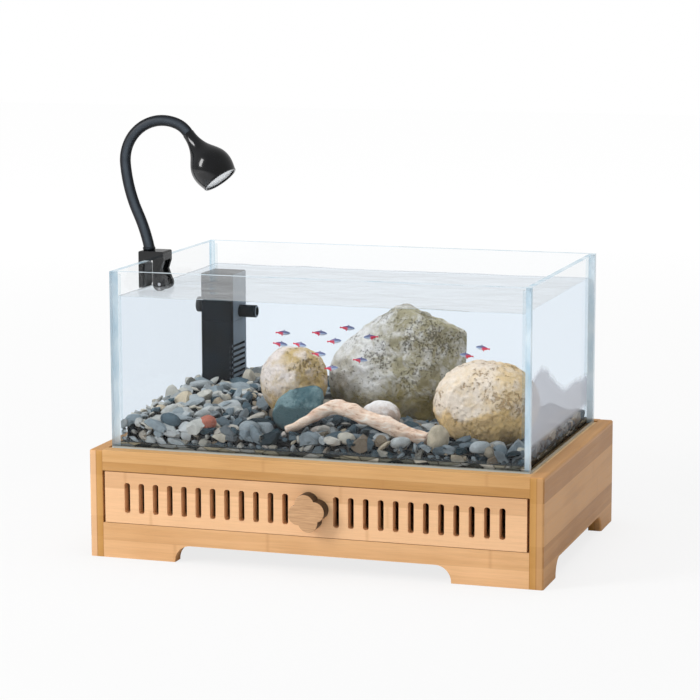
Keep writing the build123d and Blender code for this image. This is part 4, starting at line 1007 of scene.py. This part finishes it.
def waterSideMaterial():
    material, tree, surface = emptyMaterial("waterSide")
    place = objectPlace(tree)
    height = axisOf(tree, place, "Z")
    # painted reflection: an opaque pale line along the waterline on the sides
    nearTop = fade(tree, minus(tree, height, waterTop), 0.0, water["lineHeight"], 0, water["lineCover"])
    plain = addNode(tree, "BsdfTransparent", {"Color": water["side"]})
    waterlineGlint = addNode(tree, "BsdfPrincipled", {"Base Color": water["line"], "Roughness": 0.2})
    clear = mixShaders(tree, nearTop, plain.outputs[0], waterlineGlint.outputs[0])
    # at a grazing angle, the glass and water of the right side show the stones only as pale shapes
    heaps = product(tree, noiseAt(tree, objectPlace(tree, scale=(0, 1, 0)), 10, 0), water["ghostHeap"])
    jagged = plus(tree, heaps, product(tree, noiseAt(tree, place, 60, 1), water["ghostJag"]))
    sunk = product(tree, axisOf(tree, place, "Y"), water["ghostSink"])
    overFloor = minus(tree, height, tankFloor)
    over = minus(tree, plus(tree, overFloor, sunk), jagged)
    outline = water["ghostHeight"]
    inGhost = fade(tree, over, outline, outline + water["ghostSoft"], water["ghostCover"], 0)
    overGravel = fade(tree, overFloor, *water["ghostFoot"], water["footCover"])
    grazing = fade(tree, addNode(tree, "LayerWeight").outputs["Facing"], *water["ghostAngle"])
    geometry = addNode(tree, "NewGeometry").outputs
    isRight = sums(tree, "GREATER_THAN", axisOf(tree, geometry["Normal"], "X"), flatFace)
    fromOutside = sums(tree, "SUBTRACT", isRight, geometry["Backfacing"], clamp=True)
    amount = product(tree, product(tree, inGhost, overGravel), product(tree, grazing, fromOutside))
    ghost = addNode(tree, "BsdfPrincipled", {"Base Color": water["ghost"], "Roughness": 0.9})
    tree.links.new(mixShaders(tree, amount, clear, ghost.outputs[0]), surface)
    return material


def waterTopMaterial():
    material, tree, surface = emptyMaterial("waterTop")
    waves = noiseAt(tree, objectPlace(tree, scale=(0.5, 1.4, 1)), 26, 2, 0.5, 0.6)
    ruffled = addNode(tree, "Bump", {"Height": waves, "Distance": 0.0012, "Strength": 0.7})
    clear = seeThrough(tree, water["top"], 0.04, 1.33, ruffled.outputs[0], water["topMirror"])
    # painted reflection: a share of plain pale white over the water's top, as a veil
    veil = addNode(tree, "BsdfDiffuse", {"Color": water["veil"]})
    tree.links.new(mixShaders(tree, water["topVeil"], clear, veil.outputs[0]), surface)
    return material


def pourWater():
    inset = water["inset"]
    low = waterLow + Vector((inset, inset, inset))
    high = waterHigh - Vector((inset, inset, 0))
    bm, topVerts, topFaces = raiseGrid(low, high, low.z, water["columns"], water["rows"])
    for vert in topVerts:
        edgeGap = min(vert.co.x - low.x, high.x - vert.co.x, vert.co.y - low.y, high.y - vert.co.y)
        swell = sum(share * noise.noise(Vector((vert.co.x * across, vert.co.y * deep, start)))
                    for across, deep, start, share in water["waves"])
        climb = water["meniscus"] * math.exp(-edgeGap / water["meniscusReach"])
        vert.co.z = waterTop + water["ripple"] * swell + climb
    bmesh.ops.recalc_face_normals(bm, faces=bm.faces)
    for face in topFaces:
        face.material_index = 1
        face.smooth = True
    piece = finishPiece("water", bm, [waterSideMaterial(), waterTopMaterial()], "tank", smooth=False)


pourWater()

fish = {
    # places from the tank's middle, front face and floor in millimetres, and 1 for a fish that faces right
    "places": [(-58, 80.5, 98, 1), (-16.6, 65.5, 102, 1), (4, 85.5, 104.7, 1), (1, 55.5, 96.8, 1),
               (-55.4, 65.5, 89.8, 1), (-29.3, 45.5, 93.5, 1), (-13.4, 53.5, 84.3, 1), (13.4, 95.5, 73.3, 1),
               (-3.7, 60.5, 70.5, 1), (19.1, 105.5, 93.9, -1), (112.4, 105.5, 80.9, -1),
               (135.9, 75.5, 93.6, -1)],
    "halfLength": 0.0078, "halfHeight": 0.0022, "halfWidth": 0.0013, "seed": 5,
    # tail, back and belly fin: how far along and up the body, turn in degrees, and size
    "fins": [(-1.0, 0, 90, 0.45), (0.05, 1.0, 0, 0.6), (-0.25, -0.9, 180, 0.5)],
    "finBase": 0.0022, "finTip": 0.0004, "finLength": 0.0026, "finThin": 0.18,
    # the body's share of the length, where fins stand along and up it, and how far fish lean and turn
    "bodyShare": 0.8, "finAlong": 0.84, "finUp": 0.8, "tilt": 0.12, "yaw": 0.25,
}


def fishMaterial():
    material, tree, shader = newMaterial("tetra", 0.3, specular=0.7)
    along = addNode(tree, "Attribute", attribute_name="fishAlong").outputs["Fac"]
    height = addNode(tree, "Attribute", attribute_name="fishHeight").outputs["Fac"]
    scales = noiseAt(tree, objectPlace(tree), 2600, 2)
    flank = ramp(tree, height, [
        (0.3, paint(216, 222, 236)), (0.5, paint(156, 178, 216)), (0.66, paint(104, 110, 150)),
    ])
    redTail = ramp(tree, height, [
        (0.0, paint(246, 60, 96)), (0.6, paint(238, 34, 70)), (0.8, paint(110, 90, 140)),
    ])
    colour = mixColour(tree, fade(tree, along, 0.42, 0.52, 1, 0), flank, redTail)
    applyColour(tree, shader, multiply(tree, 0.4, colour, fade(tree, scales, 0.35, 0.6, 0.7, 1.1)))
    return material


def swimFish():
    halfLength, halfHeight, halfWidth = fish["halfLength"], fish["halfHeight"], fish["halfWidth"]
    bm = bmesh.new()
    alongLayer = bm.verts.layers.float.new("fishAlong")
    heightLayer = bm.verts.layers.float.new("fishHeight")
    random.seed(fish["seed"])
    for x, y, z, way in fish["places"]:
        tilt = Matrix.Rotation(random.uniform(-fish["tilt"], fish["tilt"]), 4, "Y")
        yaw = Matrix.Rotation(random.uniform(-fish["yaw"], fish["yaw"]), 4, "Z")
        body = bmesh.ops.create_uvsphere(bm, u_segments=16, v_segments=10, radius=1.0)["verts"]
        for vert in body:
            t = vert.co.x
            taper = 1 - 0.35 * max(0, -t) ** 1.5 - 0.25 * max(0, t) ** 2
            vert.co = Vector((t * halfLength * fish["bodyShare"], vert.co.y * halfWidth * taper,
                              vert.co.z * halfHeight * taper))
        for along, up, degrees, size in fish["fins"]:
            fin = bmesh.ops.create_cone(bm, cap_ends=True, segments=6, radius1=fish["finBase"] * size,
                                        radius2=fish["finTip"], depth=fish["finLength"])["verts"]
            lay = Matrix.Rotation(math.radians(degrees), 4, "Y")
            for vert in fin:
                vert.co = lay @ vert.co
                vert.co.y *= fish["finThin"]
                vert.co += Vector((along * halfLength * fish["finAlong"], 0, up * halfHeight * fish["finUp"]))
            body = body + fin
        for vert in body:
            vert[alongLayer] = vert.co.x / halfLength * 0.5 + 0.5
            vert[heightLayer] = vert.co.z / halfHeight * 0.5 + 0.5
        about = Matrix.Rotation(0 if way > 0 else math.pi, 4, "Z")
        place = Matrix.Translation(inTank(x, y, z)) @ yaw @ tilt @ about
        bmesh.ops.transform(bm, matrix=place, verts=body)
    bmesh.ops.recalc_face_normals(bm, faces=bm.faces)
    piece = finishPiece("tetras", bm, fishMaterial(), "tank")


swimFish()
print("water and fish done")

# Filter


def filterPlasticMaterial():
    material, tree, shader = newMaterial("blackFilterPlastic", 0.5, specular=0.15)
    place = objectPlace(tree)
    texture = noiseAt(tree, place, 1500, 2)
    mottle = noiseAt(tree, place, 34, 4)
    colour = ramp(tree, mottle, [(0.35, paint(2, 6, 9)), (0.7, paint(10, 22, 30))])
    # painted light: the side that faces right is painted pale grey, as if lit from the right
    litSide = fade(tree, normalAlong(tree, "X"), 0.75, 0.95, 0, 0.9)
    litSideTone = ramp(tree, mottle, [(0.3, paint(128, 142, 156)), (0.7, paint(152, 166, 180))])
    applyColour(tree, shader, mixColour(tree, litSide, colour, litSideTone), fade(tree, mottle, 0.3, 0.7, 0.45, 0.6))
    bump(tree, shader, texture, 0.00005)
    return material


def speckledMaterial(name, first, second, scale, roughness, depth=0.0002):
    material, tree, shader = newMaterial(name, roughness)
    grain = noiseAt(tree, objectPlace(tree), scale, 4)
    applyColour(tree, shader, ramp(tree, grain, [(0.35, first), (0.65, second)]))
    bump(tree, shader, grain, depth)
    return material


dress(filterPlasticMaterial(), "filter_sheath", "filter_head", "outlet_nozzle", "impeller_cover")
dress(speckledMaterial("filterFoam", paint(14, 15, 17), paint(52, 56, 62), 900, 0.95, 0.0008),
      "filter_sponge")
dress(speckledMaterial("blackRubber", paint(24, 25, 28), paint(40, 42, 46), 1200, 0.6, 0.0001),
      "suction_cups", "outer_jaw_pad", "inner_jaw_pad")
dress(speckledMaterial("coilResin", paint(84, 34, 22), paint(120, 56, 36), 300, 0.35),
      "motor_coil")
dress(speckledMaterial("shaftCeramic", paint(222, 218, 208), paint(240, 238, 230), 800, 0.25, 0.00003),
      "impeller_shaft")
dress(speckledMaterial("rotorPlastic", paint(34, 36, 42), paint(64, 68, 76), 500, 0.45),
      "impeller")

# Lamp

lampLook = {
    "sleeveRadius": 0.0052, "ringGap": 0.0022, "ringSides": 28,
    # the foot's flange, and its rings as height over the socket and how far in from its full radius
    "flangeRadius": 0.006, "flangeHeight": 0.003,
    "flangeRings": [(0.0003, 0.0004), (0.0007, 0), (0.0026, 0), (0.003, 0.0005)],
    # the neck's bends as turn in degrees and length in millimetres, from the socket up
    "bends": [(12.2, 33.6), (-20.0, 49.0), (-117.3, 79.7), (-29.5, 12.3)], "startHeading": 102.5,
    # the rings of a ball end, in degrees from the stretch's last ring towards the ball's tip
    "ballRings": (10, 28, 48, 68, 82),
}


def lampPlasticMaterial():
    material, tree, shader = newMaterial("glossBlackPlastic", 0.16, specular=0.2)
    shader.inputs["Coat Weight"].default_value = 0.5
    shader.inputs["Coat Roughness"].default_value = 0.06
    smears = noiseAt(tree, objectPlace(tree), 60, 3)
    colour = ramp(tree, smears, [(0.35, paint(4, 5, 7)), (0.7, paint(12, 14, 18))])
    applyColour(tree, shader, colour, fade(tree, smears, 0.3, 0.7, 0.18, 0.28))
    return material


def neckMaterial():
    material, tree, shader = newMaterial("neckSleeve", 0.45, specular=0.2)
    place = objectPlace(tree)
    smudge = noiseAt(tree, place, 90, 3)
    fine = noiseAt(tree, place, 1800, 2)
    # a satin sheen that is darkest towards the outline
    sheen = addNode(tree, "LayerWeight", {"Blend": 0.5}).outputs["Facing"]
    satin = ramp(tree, sheen, [
        (0.0, paint(72, 80, 88)), (0.12, paint(46, 52, 60)), (0.3, paint(20, 23, 28)), (1.0, paint(5, 6, 8)),
    ])
    applyColour(tree, shader, multiply(tree, 0.4, satin, fade(tree, smudge, 0.35, 0.7, 0.6, 1.1)))
    bump(tree, shader, fine, 0.00004)
    return material


def ahead(heading):
    # one step along a heading in the neck's plane
    return Vector((math.cos(heading), 0, math.sin(heading)))


def neckRoute():
    # points and headings along the neck's middle line, from the socket up
    joints = {joint["name"]: joint for joint in frame["joints"]}
    socket = Vector(joints["neck_turn"]["pos_m"])
    spot = socket + Vector((0, 0, lampLook["flangeHeight"]))
    heading = math.radians(lampLook["startHeading"])
    route = [(spot.copy(), heading, 0.0)]
    travelled = 0.0
    for turn, length in lampLook["bends"]:
        steps = max(4, round(length / 1000 / lampLook["ringGap"]))
        stepTurn, stepLength = math.radians(turn) / steps, length / 1000 / steps
        chord = stepLength * math.sin(abs(stepTurn) / 2) / (abs(stepTurn) / 2)
        for _ in range(steps):
            middle = heading + stepTurn / 2
            spot = spot + ahead(middle) * chord
            heading += stepTurn
            travelled += stepLength
            route.append((spot.copy(), heading, travelled))
    return socket, route


def sleeve(name, stations, material, body, replaced):
    # a closed tube through rings of (spot, heading, radius)
    sides = lampLook["ringSides"]
    bm = bmesh.new()
    rings = []
    for spot, heading, radius in stations:
        turn = ahead(heading).to_track_quat("Z", "Y").to_matrix().to_4x4()
        place = Matrix.Translation(spot) @ turn
        rings.append(bmesh.ops.create_circle(bm, segments=sides, radius=radius, matrix=place)["verts"])
    bridgeRings(bm, rings, sides)
    piece = finishPiece(name, bm, material, body, smoothAngle=50)
    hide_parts(replaced)


def ballEnd(station, side):
    # rings that round off a stretch where it bends: side is 1 past its far end and -1 before its near end
    spot, heading, _ = station
    radius = lampLook["sleeveRadius"]
    rings = []
    for degrees in lampLook["ballRings"]:
        lift = math.radians(degrees)
        middle = spot + ahead(heading) * side * radius * math.sin(lift)
        rings.append((middle, heading, radius * math.cos(lift)))
    return rings if side > 0 else rings[::-1]


def buildNeck():
    material = neckMaterial()
    socket, route = neckRoute()
    lengths = [length / 1000 for _, length in lampLook["bends"]]
    lowBend, highBend = lengths[0], lengths[0] + lengths[1]
    foot = [(socket + Vector((0, 0, rise)), math.pi / 2, lampLook["flangeRadius"] - inset)
            for rise, inset in lampLook["flangeRings"]]

    def stretch(start, end):
        return [station for station in route if start - 0.0001 <= station[2] <= end + 0.0001]

    def rings(stations):
        return [(spot, heading, lampLook["sleeveRadius"]) for spot, heading, _ in stations]

    low, middle, high = stretch(0, lowBend), stretch(lowBend, highBend), stretch(highBend, route[-1][2])
    sleeve("neckSleeveLow", foot + rings(low) + ballEnd(low[-1], 1),
           material, "neck_foot", "gooseneck_lower")
    sleeve("neckSleeveMiddle", ballEnd(middle[0], -1) + rings(middle) + ballEnd(middle[-1], 1),
           material, "neck_middle", "gooseneck_middle")
    sleeve("neckSleeveHigh", ballEnd(high[0], -1) + rings(high) + ballEnd(high[-1], 1),
           material, "neck_top", "gooseneck_upper")


dress(lampPlasticMaterial(), "clip_body", "clip_jaw", "lamp_shade", "lamp_bezel")
dress(speckledMaterial("lampLens", paint(236, 240, 244), paint(252, 253, 255), 500, 0.18, 0.00004),
      "lamp_lens")
dress(speckledMaterial("lightBoard", paint(226, 228, 222), paint(244, 245, 240), 400, 0.4),
      "led_board")
buildNeck()
print("filter and lamp done")

# Stage, light and camera

stage = {
    "worldLevel": 0.46, "floorPaint": (0.86, 0.86, 0.86, 1), "floorShade": 0.13, "floorSize": 6.0,
    # the floor's own glow near the object and far from it, so that all of it reads white
    "floorGlow": (0.80, 0.93), "glowReach": (0.5, 2.6),
    "key": {"spot": (-1.8, -1.65, 1.4), "size": (0.7, 1.5), "power": 50, "inReflections": True},
    "top": {"spot": (0.1, 0.1, 2.1), "size": (1.6, 1.6), "power": 28, "inReflections": False},
    "aim": (0.0, 0.0, 0.16),
}
camera = {
    # fitted to the photograph: place in metres, turn left and tilt down in degrees, lens in millimetres
    "place": (0.73225, -2.2677, 0.5684), "yaw": 17.92, "pitch": 9.17, "roll": -0.13,
    "lens": 130.68, "sensor": 36.0,
}


def whiteForSight(tree):
    # 1 for what the camera sees, also through glass, and 0 for light on the object
    path = addNode(tree, "LightPath")
    return sums(tree, "ADD", path.outputs["Is Camera Ray"], path.outputs["Is Transmission Ray"], clamp=True)


def lightWorld():
    world = bpy.data.worlds.new("studio")
    bpy.context.scene.world = world
    world.use_nodes = True
    tree = world.node_tree
    tree.nodes.clear()
    end = addNode(tree, "OutputWorld")
    level = plus(tree, stage["worldLevel"], product(tree, whiteForSight(tree), 1 - stage["worldLevel"]))
    sky = addNode(tree, "Background", {"Color": (1, 1, 1, 1), "Strength": level})
    tree.links.new(sky.outputs[0], end.inputs["Surface"])


def floorLook():
    material, tree, surface = emptyMaterial("paleFloor")
    plain = addNode(tree, "BsdfDiffuse", {"Color": stage["floorPaint"]})
    shade = addNode(tree, "BsdfDiffuse", {"Color": grey(stage["floorShade"])})
    away = addNode(tree, "VectorMath", {0: objectPlace(tree)}, operation="LENGTH").outputs["Value"]
    near, far = stage["glowReach"]
    dim, full = stage["floorGlow"]
    spread = addNode(tree, "MapRange", {
        "Value": away, "From Min": near, "From Max": far, "To Min": dim, "To Max": full,
    })
    glow = addNode(tree, "Emission", {"Color": (1, 1, 1, 1), "Strength": spread.outputs[0]})
    bright = addNode(tree, "AddShader", {0: shade.outputs[0], 1: glow.outputs[0]})
    tree.links.new(mixShaders(tree, whiteForSight(tree), plain.outputs[0], bright.outputs[0]), surface)
    return material


def setStage():
    lightWorld()
    bm = bmesh.new()
    bmesh.ops.create_grid(bm, x_segments=2, y_segments=2, size=stage["floorSize"])
    floor = finishPiece("floor", bm, floorLook(), None, smooth=False)
    for name in ("key", "top"):
        light = bpy.data.lights.new(name, "AREA")
        light.shape = "RECTANGLE"
        light.size, light.size_y = stage[name]["size"]
        light.energy = stage[name]["power"]
        lamp = bpy.data.objects.new(name + "Light", light)
        lamp.visible_glossy = stage[name]["inReflections"]
        lamp.location = stage[name]["spot"]
        aim = Vector(stage["aim"]) - Vector(stage[name]["spot"])
        lamp.rotation_euler = aim.to_track_quat("-Z", "Y").to_euler()
        bpy.context.scene.collection.objects.link(lamp)


def setCamera():
    lens = bpy.data.cameras.new("photoCamera")
    lens.sensor_width = camera["sensor"]
    lens.lens = camera["lens"]
    view = bpy.data.objects.new("photoCamera", lens)
    yaw, pitch, roll = (math.radians(camera[key]) for key in ("yaw", "pitch", "roll"))
    view.matrix_world = (Matrix.Translation(camera["place"]) @ Matrix.Rotation(yaw, 4, "Z")
                         @ Matrix.Rotation(math.pi / 2 - pitch, 4, "X") @ Matrix.Rotation(roll, 4, "Z"))
    bpy.context.scene.collection.objects.link(view)
    bpy.context.scene.camera = view
    bpy.context.scene.view_settings.view_transform = "Standard"


setStage()
setCamera()
print("stage set")
